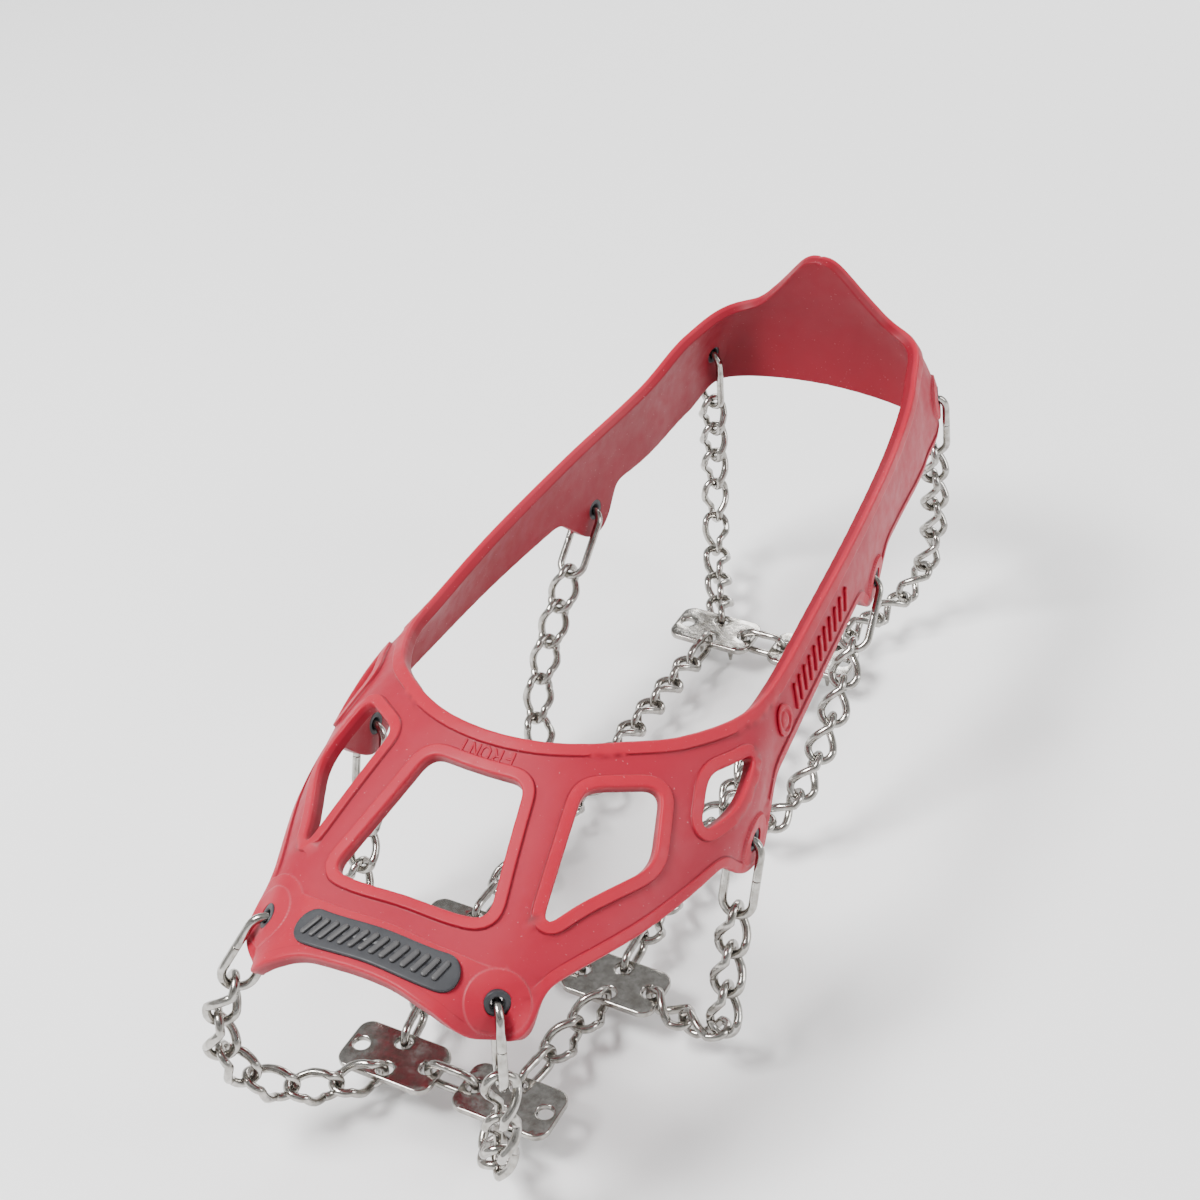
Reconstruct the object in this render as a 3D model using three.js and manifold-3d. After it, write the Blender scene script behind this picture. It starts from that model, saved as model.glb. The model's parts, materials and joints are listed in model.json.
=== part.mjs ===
// Slip-on ice cleats for one walking boot: a moulded elastomer harness with eight reinforced
// eyelets, carrying a net of welded chain with six two-pointed spike plates under the sole.
//
// Millimetres, +Z up, toe towards -Y. The origin is the middle of the boot's sole: z = 0 is
// the plane the outsole stands on, x = 0 the boot's middle plane. The net hangs below it.

import * as THREE from 'three';
import { mergeVertices } from 'three/addons/utils/BufferGeometryUtils.js';
import Module from 'manifold-3d';

const wasm = await Module();
wasm.setup();

// ---- Driving dimensions --------------------------------------------------------------------

const SKIN = 3.2;                 // thickness of the elastomer
const CLEARANCE = 0.3;            // gap left between neighbouring pieces
const EDGE_STEP = 9;              // spacing of vertices along a harness edge
const BODY_STEP = 15;             // spacing of vertices inside the harness

const EYELET = { outer: 3.4, inner: 1.85, flare: 1.2, height: 4.2, bore: 4 };
const BADGE = { length: 46, height: 10, thick: 1.8, t: 0, v: 0.1 };
const TAB = { halfWidth: 13, foot: 22, corner: 5, rise: 20 };

const WIRE = 2.4;                 // chain wire diameter
const LINK = { length: 17, width: 10, twist: Math.PI / 2 };
const PLAIN_LINK = { length: 17, width: 10, twist: 0 };
const CONNECTOR = { length: 25, width: 11, twist: 0 };
const LINK_STEPS = 10;            // sections of wire round one link
const LINK_PLAY = 0.5;            // gap between two links that can move
const RING_RADIUS = 6.2;          // middle of the ring's wire
const NET_Z = -5;                 // height of the chain's centre line under the sole

const PLATE = { length: 28.8, width: 17, thick: 2, corner: 4, hole: 2.3, holeX: 10.5, holeY: 5 };
const SPIKE = { base: 3, tip: 0.5, height: 9.8, x: 5.4 };

// Rails of the harness's outer face, from the middle of the toe round the +X side to the
// middle of the heel: lower edge, half-way line and upper edge at each of thirteen stations.
const STATIONS = [
  [[0, -137.7, 65], [0, -103, 73.2], [0, -69.5, 86.2]],
  [[18, -137.2, 63], [15, -102.8, 73.3], [12, -68, 86]],
  [[33, -133, 59.5], [27.7, -98.8, 73.5], [22, -64, 85.5]],
  [[43, -115.5, 60.5], [36.5, -85.6, 73.8], [31, -57.5, 84.3]],
  [[54.5, -88, 59], [47.8, -67.8, 72.2], [41, -47.5, 81.7]],
  [[60, -52, 55.8], [57.6, -42, 67.9], [49.3, -30, 78]],
  [[58, -22, 58], [55.6, -17, 67.4], [51.7, -12, 76.7]],
  [[54.5, 18, 60.5], [53.4, 18, 69.9], [50.7, 18, 79.3]],
  [[50, 62, 60.5], [49.8, 61, 71], [48, 60, 81.5]],
  [[45.8, 100, 58], [45.6, 101, 71], [43.6, 102, 84]],
  [[43.5, 130, 60], [43, 129.5, 75], [39, 128.5, 91]],
  [[37, 152, 64], [36, 152, 79], [29, 149, 95]],
  [[0, 157, 67], [0, 156.5, 83], [0, 153, 99]],
].map((station) => station.map((p) => new THREE.Vector3(...p)));
const LAST = STATIONS.length - 1;

// The windows of the +X side by their corners (station, share of the height), and the middle
// window, which the middle plane cuts in half.
const MIDDLE_WINDOW = [[-1.44, 0.315], [1.4, 0.32], [1.07, 0.845], [-1.1, 0.85]];
const SIDE_WINDOWS = [
  [[2.36, 0.27], [3.86, 0.3], [3.84, 0.72], [2.38, 0.81]],
  [[4.36, 0.34], [4.83, 0.38], [5.18, 0.69], [4.44, 0.71]],
];
const WINDOW_CORNER = 4.5;
const LUG_V = 0.3;                // eyelets below this share of the height stand on lugs
// A lug's tip radius, then towards the toe and towards the heel how far its foot reaches and the
// share of a half turn where it joins its tip.
const HANGING_LUG = { tip: 9.5, reach: [18, 14], spread: [0.3, 0.15] };
const CORNER_LUG = { tip: 9.7, reach: [23, 12], spread: [0.46, 0.25] };
// The toe corners bend down to radii of their own below v; low on its -X side the harness is
// drawn in round one station.
const TOE_BEND = { right: 17, left: 38, spread: 0.55, v: 0.16 };
const TUCK = { depth: 3, t: -3.6, spread: 1 };

// Each strand: where its eyelet is on the harness (t, v), the corner that it turns round at the
// edge of the sole, and how many twisted links follow the connecting link. A boot's toe is
// fuller on its inner side, so the two toe strands differ.
const TOE = {
  right: { links: 5, t: 1.99, v: 0.05, corner: [33, -150, 2] },
  left: { links: 6, t: -2.25, v: 0.03, corner: [-44, -150, -1] },
};
const pair = (links, t, v, [x, y, z]) => ({
  right: { links, t, v, corner: [x, y, z] },
  left: { links, t: -t, v, corner: [-x, y, z] },
});
const STRANDS = {
  toe: TOE,
  ball: pair(5, 5.37, -0.23, [60, -66, -6]),
  arch: pair(6, 8.23, -0.2, [40, 12, -6]),
  rear: pair(8, 10.7, 0.43, [46, 160, -6]),
};
const LOOSE_LINKS = 2;            // links of a strand that are nodes of their own
const SIDES = { right: 1, left: -1 };

// ---- Materials -----------------------------------------------------------------------------

const elastomer = () => new THREE.MeshStandardMaterial({ color: 0xb5202f, roughness: 0.45, metalness: 0 });
const greyPlastic = () => new THREE.MeshStandardMaterial({ color: 0x4a4c50, roughness: 0.5, metalness: 0 });
const steel = () => new THREE.MeshStandardMaterial({ color: 0xc3c1bd, roughness: 0.22, metalness: 1 });

const group = new THREE.Group();

function addMesh(name, geometry, material) {
  const mesh = new THREE.Mesh(geometry, material);
  mesh.name = name;
  group.add(mesh);
  return mesh;
}

// ---- The harness's outer face --------------------------------------------------------------

// A point of one rail at station t by Catmull-Rom, the far side being the mirror image.
function railPoint(rail, t) {
  const i = Math.min(Math.max(Math.floor(t), 0), LAST - 1);
  const u = t - i;
  const at = (k) => {
    const inside = k < 0 ? -k : k > LAST ? 2 * LAST - k : k;
    const p = STATIONS[inside][rail].clone();
    if (inside !== k) p.x = -p.x;
    return p;
  };
  const [a, b, c, d] = [at(i - 1), at(i), at(i + 1), at(i + 2)];
  const spline = (axis) => 0.5 * (2 * b[axis]
    + (c[axis] - a[axis]) * u
    + (2 * a[axis] - 5 * b[axis] + 4 * c[axis] - d[axis]) * u * u
    + (3 * b[axis] - a[axis] - 3 * c[axis] + d[axis]) * u * u * u);
  return new THREE.Vector3(spline('x'), spline('y'), spline('z'));
}

// The face between the rails: t runs round the boot (negative on the -X side), v from edge to
// edge. Beyond the edges, where the lugs hang and the heel tab stands, it runs on straight.
function plainFace(t, v) {
  const side = t < 0 ? -1 : 1;
  const [lower, middle, upper] = [0, 1, 2].map((rail) => railPoint(rail, Math.abs(t)));
  const lowerSlope = lower.clone().multiplyScalar(-3).addScaledVector(middle, 4).sub(upper);
  const upperSlope = upper.clone().multiplyScalar(3).addScaledVector(middle, -4).add(lower);
  const w = THREE.MathUtils.clamp(v, 0, 1);
  const p = lower.multiplyScalar((1 - w) * (1 - 2 * w));
  p.addScaledVector(middle, 4 * w * (1 - w)).addScaledVector(upper, w * (2 * w - 1));
  p.addScaledVector(lowerSlope, Math.min(v, 0)).addScaledVector(upperSlope, Math.max(v - 1, 0));
  p.x *= side;
  const near = Math.exp(-(((t - TUCK.t) / TUCK.spread) ** 2));
  p.x += TUCK.depth * near * Math.max(1 - 2 * v, 0) ** 2;
  return p;
}

// Derivatives and outward normal of a surface.
function frameOf(surface, t, v) {
  const step = 0.01;
  const inner = THREE.MathUtils.clamp(t, -LAST + step, LAST - step);
  const along = surface(inner + step, v).sub(surface(inner - step, v)).divideScalar(2 * step);
  const up = surface(inner, v + step).sub(surface(inner, v - step)).divideScalar(2 * step);
  const normal = along.clone().cross(up).normalize();
  if (Math.abs(t) === LAST) normal.setX(0).normalize();
  return { along, up, normal };
}

// The outer face, with the bend that the pull of the chains gives the two toe corners.
function face(t, v) {
  const p = plainFace(t, v);
  const side = t < 0 ? 'left' : 'right';
  const away = t - TOE[side].t;
  const curvature = Math.exp(-((away / TOE_BEND.spread) ** 2)) / TOE_BEND[side];
  if (v >= TOE_BEND.v || curvature < 1e-5) return p;
  const { up, normal } = frameOf(plainFace, t, TOE_BEND.v);
  const run = (TOE_BEND.v - v) * up.length();
  const angle = run * curvature;
  p.addScaledVector(up.normalize(), run - Math.sin(angle) / curvature);
  return p.addScaledVector(normal, (Math.cos(angle) - 1) / curvature);
}

const faceFrame = (t, v) => frameOf(face, t, v);

// The place a millimetres along the harness and b millimetres up it from (t, v).
function beside(t, v, a, b) {
  const { along, up } = faceFrame(t, v);
  const pace = along.length();
  const lean = up.dot(along) / pace;
  const rise = b / Math.sqrt(up.lengthSq() - lean * lean);
  return new THREE.Vector2(t + (a - rise * lean) / pace, v + rise);
}

// The place that stands at a straight distance `radius` from (t, v), in the direction `angle`.
function aroundSpot(t, v, radius, angle) {
  const centre = face(t, v);
  const { along, up } = faceFrame(t, v);
  along.normalize();
  up.addScaledVector(along, -up.dot(along)).normalize();
  const [cos, sin] = [Math.cos(angle), Math.sin(angle)];
  let p = beside(t, v, radius * cos, radius * sin);
  for (let i = 0; i < 6; i += 1) {
    const way = face(p.x, p.y).sub(centre);
    const [a, b] = [way.dot(along), way.dot(up)];
    const reach = (radius * Math.hypot(a, b)) / way.length();
    p = beside(p.x, p.y, reach * cos - a, reach * sin - b);
  }
  return p;
}

function circleOn(t, v, radius, count, from = 0, to = 2 * Math.PI) {
  const closed = to - from === 2 * Math.PI;
  return Array.from({ length: closed ? count : count + 1 }, (_, i) => {
    return aroundSpot(t, v, radius, from + ((to - from) * i) / count);
  });
}

// A window: its corners rounded by curves that start a set distance before each corner.
function roundedWindow(corners) {
  const points = corners.map(([t, v]) => new THREE.Vector2(t, v));
  return points.flatMap((corner, i) => {
    const ends = [points.at(i - 1), points[(i + 1) % points.length]].map((other) => {
      const span = face(corner.x, corner.y).distanceTo(face(other.x, other.y));
      return corner.clone().lerp(other, Math.min(WINDOW_CORNER / span, 0.45));
    });
    return new THREE.QuadraticBezierCurve(ends[0], corner, ends[1]).getPoints(3);
  });
}

const mirrored = (points) => points.map((p) => new THREE.Vector2(-p.x, p.y)).reverse();

// ---- Solids laid over the face -------------------------------------------------------------

// Maps each directed edge to the triangle that holds it.
function edgeOwners(triangles) {
  const owners = new Map();
  triangles.forEach((tri, index) => {
    tri.forEach((a, k) => owners.set(`${a},${tri[(k + 1) % 3]}`, index));
  });
  return owners;
}

// Swaps the diagonals of neighbouring triangles until each pair is well shaped on the face.
function improve(triangles, flat, spots) {
  const corner = (a, b, c) => spots[a].clone().sub(spots[b]).angleTo(spots[c].clone().sub(spots[b]));
  const turn = (a, b, c) => flat[b].clone().sub(flat[a]).cross(flat[c].clone().sub(flat[a]));
  for (let pass = 0; pass < 20; pass += 1) {
    const owners = edgeOwners(triangles);
    const touched = new Set();
    triangles.forEach((tri, index) => {
      for (let k = 0; k < 3 && !touched.has(index); k += 1) {
        const [a, b, c] = [tri[k], tri[(k + 1) % 3], tri[(k + 2) % 3]];
        const other = owners.get(`${b},${a}`);
        if (other === undefined || touched.has(other)) continue;
        const d = triangles[other].find((p) => p !== a && p !== b);
        const convex = turn(c, a, d) > 1e-6 && turn(d, b, c) > 1e-6;
        if (!convex || corner(a, c, b) + corner(a, d, b) < Math.PI + 1e-6) continue;
        triangles[index] = [c, a, d];
        triangles[other] = [d, b, c];
        touched.add(index).add(other);
      }
    });
    if (!touched.size) return;
  }
}

// Splits the longest edges until none is longer on the face than its step.
function refine(triangles, flat) {
  const spots = flat.map((p) => face(p.x, p.y));
  const halfWay = (a, b) => flat[a].clone().lerp(flat[b], 0.5);
  const span = (a, b) => {
    const middle = halfWay(a, b);
    const spot = face(middle.x, middle.y);
    return spots[a].distanceTo(spot) + spot.distanceTo(spots[b]);
  };
  const split = (owner, a, b, middle) => {
    const c = triangles[owner].find((p) => p !== a && p !== b);
    triangles[owner] = [a, middle, c];
    triangles.push([middle, b, c]);
  };
  for (;;) {
    const owners = edgeOwners(triangles);
    const long = [];
    owners.forEach((owner, key) => {
      const [a, b] = key.split(',').map(Number);
      const twin = owners.get(`${b},${a}`);
      if (twin !== undefined && a > b) return;
      const excess = span(a, b) / (twin === undefined ? EDGE_STEP : BODY_STEP);
      if (excess > 1) long.push({ a, b, owner, twin, excess });
    });
    if (!long.length) return;
    const touched = new Set();
    long.sort((p, q) => q.excess - p.excess).forEach(({ a, b, owner, twin }) => {
      if (touched.has(owner) || touched.has(twin)) return;
      const point = halfWay(a, b);
      const middle = flat.push(point) - 1;
      spots.push(face(point.x, point.y));
      split(owner, a, b, middle);
      if (twin !== undefined) split(twin, b, a, middle);
      touched.add(owner);
      if (twin !== undefined) touched.add(twin);
    });
    improve(triangles, flat, spots);
  }
}

// A sheet over the face between two heights along the normal, with walls on every open edge
// that isn't on the seam at the middle of the heel. A bore's wall is straight: all its points
// move along the bore's axis.
function sheetSolid(contour, windows, bores, top, bottom) {
  const holes = [...windows, ...bores.map((bore) => bore.points)];
  const flat = [contour, ...holes].flat();
  const triangles = THREE.ShapeUtils.triangulateShape(contour, holes);
  refine(triangles, flat);
  const count = flat.length;
  const normals = flat.map((p) => faceFrame(p.x, p.y).normal);
  bores.forEach(({ points, axis }) => points.forEach((p) => normals.splice(flat.indexOf(p), 1, axis)));
  const layer = (height) => flat.map((p, i) => face(p.x, p.y).addScaledVector(normals[i], height));
  const index = triangles.flatMap(([a, b, c]) => [a, b, c, count + a, count + c, count + b]);
  const owners = edgeOwners(triangles);
  owners.forEach((owner, key) => {
    const [a, b] = key.split(',').map(Number);
    const onSeam = Math.abs(flat[a].x) === LAST && flat[a].x === flat[b].x;
    if (onSeam || owners.has(`${b},${a}`)) return;
    index.push(a, count + a, count + b, a, count + b, b);
  });
  const geometry = new THREE.BufferGeometry().setFromPoints([...layer(top), ...layer(bottom)]);
  geometry.setIndex(index);
  return mergeVertices(geometry, 1e-3);
}

const allEyelets = () => Object.values(STRANDS)
  .flatMap((strand) => Object.keys(SIDES).map((side) => eyeletFrame(strand, side)));

const lugOf = (v) => (v < 0 ? HANGING_LUG : CORNER_LUG);

function lugOutline({ t, v }) {
  const { tip, reach, spread } = lugOf(v);
  const [before, after] = t > 0 ? [0, 1] : [1, 0];
  const feet = [-reach[before], reach[after]].map((a) => new THREE.Vector2(beside(t, 0, a, 0).x, 0));
  const arc = circleOn(t, v, tip, 8, Math.PI * (1 + spread[before]), Math.PI * (2 - spread[after]));
  return [feet[0], ...arc, feet[1]];
}

function harnessContour() {
  const lugs = allEyelets().filter(({ v }) => v < LUG_V).sort((a, b) => a.t - b.t);
  const lower = [new THREE.Vector2(-LAST, 0), ...lugs.flatMap(lugOutline), new THREE.Vector2(LAST, 0)];
  const slope = faceFrame(LAST, 1).up.length();
  const [foot, edge, corner] = [-TAB.foot, -TAB.halfWidth, TAB.corner - TAB.halfWidth]
    .map((a) => beside(LAST - 0.02, 1, a, 0).x);
  const top = 1 + TAB.rise / slope;
  const tab = [[LAST, top], [corner, top], [edge, top - TAB.corner / slope], [foot, 1]];
  const right = tab.map(([t, v]) => new THREE.Vector2(t, v));
  return [...lower, ...right, ...mirrored(right)];
}

function addHarness() {
  const contour = harnessContour();
  const sideWindows = SIDE_WINDOWS.map(roundedWindow);
  const windows = [roundedWindow(MIDDLE_WINDOW), ...sideWindows, ...sideWindows.map(mirrored)];
  const bores = allEyelets().map(({ t, v, axis }) => ({ points: circleOn(t, v, EYELET.bore, 8), axis }));
  addMesh('harness', sheetSolid(contour, windows, bores, 0, -SKIN), elastomer());
}

function addBadge() {
  const straight = (BADGE.length - BADGE.height) / 2;
  const radius = BADGE.height / 2;
  const contour = [1, -1].flatMap((side) => Array.from({ length: 7 }, (_, i) => {
    const angle = (Math.PI * i) / 6 - Math.PI / 2;
    const x = side * (straight + radius * Math.cos(angle));
    return beside(BADGE.t, BADGE.v, x, side * radius * Math.sin(angle));
  }));
  addMesh('front_badge', sheetSolid(contour, [], [], CLEARANCE + BADGE.thick, CLEARANCE), greyPlastic());
}

// ---- Chain ---------------------------------------------------------------------------------

// Centre line of a link along X: two half circles of four steps and two straights of one step,
// turned about X so that its two ends lie `twist` apart.
class LinkCurve extends THREE.Curve {
  constructor({ length, width, twist }) {
    super();
    this.radius = (width - WIRE) / 2;
    this.half = (length - width) / 2;
    this.twist = twist;
  }

  getUtoTmapping(u) {
    return u;
  }

  getPoint(u) {
    const s = u * LINK_STEPS;
    const quarters = s < 2 ? s : s < 3 ? 2 : s < 7 ? s - 1 : s < 8 ? 6 : s - 2;
    const angle = (quarters * Math.PI) / 4;
    const centre = s <= 2 || s >= 8 ? 1 : s < 3 ? 5 - 2 * s : s <= 7 ? -1 : 2 * s - 15;
    const x = centre * this.half + this.radius * Math.cos(angle);
    const y = this.radius * Math.sin(angle);
    const roll = (this.twist / 2) * THREE.MathUtils.clamp(x / this.half, -1, 1);
    return new THREE.Vector3(x, y * Math.cos(roll), y * Math.sin(roll));
  }
}

function linkGeometry(kind) {
  const geometry = new THREE.TubeGeometry(new LinkCurve(kind), LINK_STEPS, WIRE / 2, 6, true);
  geometry.deleteAttribute('normal');
  geometry.deleteAttribute('uv');
  return mergeVertices(geometry, 1e-3);
}

// How far a link's end wire reaches past the pivot that it shares with the next piece.
const HELD = 0;                                  // the wire stands in the middle of a hole
const FREE = (WIRE + LINK_PLAY) / 2;             // two links bear on one another
const JOINED = (WIRE - 0.4) / 2;                 // links of one chain section, joined where they bear

const wireLength = (kind) => kind.length - WIRE;

// Lengths between the pivots of a chain of links with the given offsets at its pivots.
const chords = (kinds, offsets) => kinds.map((kind, i) => wireLength(kind) - offsets[i] - offsets[i + 1]);

// Link positions along pivots: each link's matrix turns its X axis along the chain. plane is
// the direction in which the first link lies flat. Every next link starts square to the last,
// but for the small roll that the play between two links allows.
function placeLinks(kinds, offsets, pivots, plane, roll = 0) {
  const flat = plane.clone();
  let last = null;
  return kinds.map((kind, i) => {
    const along = pivots[i + 1].clone().sub(pivots[i]).normalize();
    if (last) flat.applyQuaternion(new THREE.Quaternion().setFromUnitVectors(last, along));
    flat.addScaledVector(along, -flat.dot(along)).normalize();
    const y = flat.clone().applyAxisAngle(along, kind.twist / 2);
    const centre = pivots[i].clone().addScaledVector(along, wireLength(kind) / 2 - offsets[i]);
    const matrix = new THREE.Matrix4().makeBasis(along, y, along.clone().cross(y)).setPosition(centre);
    flat.applyAxisAngle(along, kind.twist + Math.PI / 2 + roll);
    last = along;
    return { kind, matrix };
  });
}

// The roll that would stand the last link's end upright, so that it can pass through a plate.
function rollToUpright({ kind, matrix }) {
  const [along, end] = [0, 1].map((column) => new THREE.Vector3().setFromMatrixColumn(matrix, column));
  end.applyAxisAngle(along, kind.twist / 2);
  const up = new THREE.Vector3(0, 0, 1).addScaledVector(along, -along.z).normalize();
  return Math.atan(end.clone().cross(up).dot(along) / end.dot(up));
}

const loosePiece = ({ kind, matrix }) => linkGeometry(kind).applyMatrix4(matrix);
const joinedPieces = (chain) => join(chain.map(loosePiece));

function toSolid(geometry) {
  return new wasm.Manifold(new wasm.Mesh({
    numProp: 3,
    vertProperties: new Float32Array(geometry.attributes.position.array),
    triVerts: new Uint32Array(geometry.index.array),
  }));
}

function toGeometry(solid) {
  const mesh = solid.getMesh();
  const geometry = new THREE.BufferGeometry();
  geometry.setAttribute('position', new THREE.BufferAttribute(new Float32Array(mesh.vertProperties), 3));
  geometry.setIndex([...mesh.triVerts]);
  return geometry;
}

const join = (geometries) => toGeometry(geometries.map(toSolid).reduce((all, one) => all.add(one)));

// The point of the curve beyond parameter u at a straight distance `reach` from `from`.
function stepAlong(curve, u, from, reach) {
  let low = u;
  let high = 1.6;
  for (let i = 0; i < 40; i += 1) {
    const middle = (low + high) / 2;
    if (curve.getPoint(middle).distanceTo(from) < reach) low = middle;
    else high = middle;
  }
  return low;
}

// The direction in which a lug lets its chain leave: from the eyelet over the lug's tip.
function pullDirection(t, v, eyelet, corner) {
  const { along, up } = faceFrame(t, v);
  const pull = corner.clone().sub(eyelet);
  along.normalize();
  up.addScaledVector(along, -up.dot(along)).normalize();
  const tip = new THREE.Vector2(pull.dot(along), pull.dot(up)).setLength(lugOf(v).tip);
  const edge = beside(t, v, tip.x, tip.y);
  return middleOf(edge.x, edge.y).sub(eyelet).normalize();
}

// The middle of the elastomer's thickness.
const middleOf = (t, v) => face(t, v).addScaledVector(faceFrame(t, v).normal, -SKIN / 2);

// An eyelet's own frame: its middle, the direction its chain leaves in, and the axis of its
// bore, which is square to the chain.
function eyeletFrame(strand, side) {
  const { t, v, corner } = strand[side];
  const bend = new THREE.Vector3(...corner);
  const leave = pullDirection(t, v, middleOf(t, v), bend);
  const axis = faceFrame(t, v).normal;
  axis.addScaledVector(leave, -axis.dot(leave)).normalize();
  const middle = face(t, v).addScaledVector(axis, -SKIN / 2);
  return { t, v, middle, leave, axis, bend };
}

// Pivots of a taut strand from an eyelet round a corner to a hole. The connecting link lies in
// line with its lug; beyond it the bend is drawn tighter or wider until the links fit.
function strandPivots(eyelet, leave, corner, hole, reaches) {
  const start = eyelet.clone().addScaledVector(leave, reaches[0]);
  const level = corner.clone().setZ(hole.z);
  let low = 0.2;
  let high = 2;
  let pivots = [];
  for (let i = 0; i < 40; i += 1) {
    const pull = (low + high) / 2;
    const first = start.clone().addScaledVector(leave, pull * start.distanceTo(corner));
    const second = hole.clone().lerp(level, pull);
    const curve = new THREE.CubicBezierCurve3(start, first, second, hole);
    pivots = [eyelet, start];
    let u = 0;
    reaches.slice(1, -1).forEach((reach) => {
      u = stepAlong(curve, u, pivots.at(-1), reach);
      pivots.push(curve.getPoint(u));
    });
    const short = pivots.at(-1).distanceTo(hole) < reaches.at(-1) || u > 1;
    if (short) low = pull;
    else high = pull;
  }
  return [...pivots, hole];
}

function addStrand(name, side, strand, hole) {
  const { links } = strand[side];
  const { middle, leave, axis, bend } = eyeletFrame(strand, side);
  const kinds = [CONNECTOR, ...Array(links).fill(LINK)];
  const loose = LOOSE_LINKS + 1;
  const offsets = kinds.map((_, i) => (i === 0 ? HELD : i <= loose ? FREE : JOINED)).concat(HELD);
  const pivots = strandPivots(middle, leave, bend, hole, chords(kinds, offsets));
  const straight = placeLinks(kinds, offsets, pivots, axis);
  const roll = rollToUpright(straight.at(-1)) / links;
  const chain = placeLinks(kinds, offsets, pivots, axis, roll);
  addMesh(`connecting_link_${name}_${side}`, loosePiece(chain[0]), steel());
  chain.slice(1, loose).forEach((link, i) => {
    addMesh(`chain_link_${name}_${side}_${i + 1}`, loosePiece(link), steel());
  });
  addMesh(`lower_chain_${name}_${side}`, joinedPieces(chain.slice(loose)), steel());
}

// A straight section of chain under the sole: one plain link, then twisted ones.
const runKinds = (count) => [PLAIN_LINK, ...Array(count - 1).fill(LINK)];
const runOffsets = (count) => [HELD, ...Array(count - 1).fill(JOINED), HELD];
const runLength = (count) => chords(runKinds(count), runOffsets(count)).reduce((a, b) => a + b);

function addRun(name, from, to, count) {
  const kinds = runKinds(count);
  const offsets = runOffsets(count);
  const along = to.clone().sub(from).normalize();
  const pivots = [from];
  chords(kinds, offsets).forEach((reach) => {
    pivots.push(pivots.at(-1).clone().addScaledVector(along, reach));
  });
  const chain = placeLinks(kinds, offsets, pivots, new THREE.Vector3(0, 0, 1));
  addMesh(name, joinedPieces(chain), steel());
}

// ---- Eyelets, plates and rings -------------------------------------------------------------

function addEyelet(name, strand, side) {
  const { outer, inner, flare } = EYELET;
  const end = EYELET.height / 2;
  const profile = [[inner, flare - end], [inner + flare, -end], [outer, -end], [outer, end],
    [inner + flare, end], [inner, end - flare], [inner, flare - end]];
  const ring = new THREE.LatheGeometry(profile.map(([r, z]) => new THREE.Vector2(r, z)), 8);
  const mesh = addMesh(`eyelet_${name}_${side}`, ring, greyPlastic());
  const { middle, axis } = eyeletFrame(strand, side);
  mesh.position.copy(middle);
  mesh.quaternion.setFromUnitVectors(new THREE.Vector3(0, 1, 0), axis);
}

function plateGeometry() {
  const { length, width, thick, corner, hole, holeX, holeY } = PLATE;
  const [x, y] = [length / 2, width / 2];
  const outline = new THREE.Shape();
  outline.moveTo(-x + corner, -y).lineTo(x - corner, -y).quadraticCurveTo(x, -y, x, -y + corner);
  outline.lineTo(x, y - corner).quadraticCurveTo(x, y, x - corner, y).lineTo(-x + corner, y);
  outline.quadraticCurveTo(-x, y, -x, y - corner).lineTo(-x, -y + corner);
  outline.quadraticCurveTo(-x, -y, -x + corner, -y);
  [[holeX, 0], [-holeX, 0], [0, holeY], [0, -holeY]].forEach(([cx, cy]) => {
    outline.holes.push(new THREE.Path().absarc(cx, cy, hole, 0, 2 * Math.PI, true));
  });
  const sheet = new THREE.ExtrudeGeometry(outline, { depth: thick, bevelEnabled: false, curveSegments: 4 });
  sheet.translate(0, 0, -thick / 2);
  const { base, tip, height } = SPIKE;
  const profile = [[0, -height], [tip, -height + 0.3], [base * 0.45, -height * 0.55],
    [base, 0], [base, 0.6], [0, 0.6]];
  const parts = [sheet, ...[-SPIKE.x, SPIKE.x].map((sx) => {
    const spike = new THREE.LatheGeometry(profile.map(([r, z]) => new THREE.Vector2(r, z)), 10);
    return spike.rotateX(Math.PI / 2).translate(sx, 0, -thick / 2);
  })];
  return join(parts.map((geometry) => {
    geometry.deleteAttribute('normal');
    geometry.deleteAttribute('uv');
    return mergeVertices(geometry, 1e-3);
  }));
}

function addPlate(name, centre) {
  addMesh(`spike_plate_${name}`, plateGeometry(), steel()).position.copy(centre);
}

function addRing(name, centre) {
  const ring = new THREE.TorusGeometry(RING_RADIUS, WIRE / 2, 6, 14);
  addMesh(`ring_${name}`, ring, steel()).position.copy(centre);
}

// ---- The net under the sole ----------------------------------------------------------------

const CROSS = { toe: 1, ball: 2, heel: 1 };                  // links between left and right plates
const LENGTHWISE = { front: 3, middle: 5, rear: 6 };         // links from toe plates to heel plates
const RING_X = 22;
const BALL_Y = -58;

// The far end of a run that starts at (x, y), has `count` links and ends at another x.
const runEnd = (y, shift, count, sign) => y + sign * Math.sqrt(runLength(count) ** 2 - shift ** 2);

function netLayout(side) {
  const plateX = (count) => runLength(count) / 2 + PLATE.holeX;
  const [toeX, ballX, heelX] = [plateX(CROSS.toe), plateX(CROSS.ball), plateX(CROSS.heel)];
  const hook = RING_RADIUS - WIRE - LINK_PLAY;
  const toeY = runEnd(BALL_Y - PLATE.holeY, ballX - toeX, LENGTHWISE.front, -1) - PLATE.holeY;
  const ringY = runEnd(BALL_Y + PLATE.holeY, ballX - RING_X, LENGTHWISE.middle, 1) + hook;
  const heelY = runEnd(ringY + hook, RING_X - heelX, LENGTHWISE.rear, 1) + PLATE.holeY;
  const spot = (x, y) => new THREE.Vector3(side * x, y, NET_Z);
  return {
    toe: spot(toeX, toeY),
    ball: spot(ballX, BALL_Y),
    heel: spot(heelX, heelY),
    ring: spot(RING_X, ringY),
    hook,
  };
}

const offset = (point, x, y) => point.clone().add(new THREE.Vector3(x, y, 0));

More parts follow.
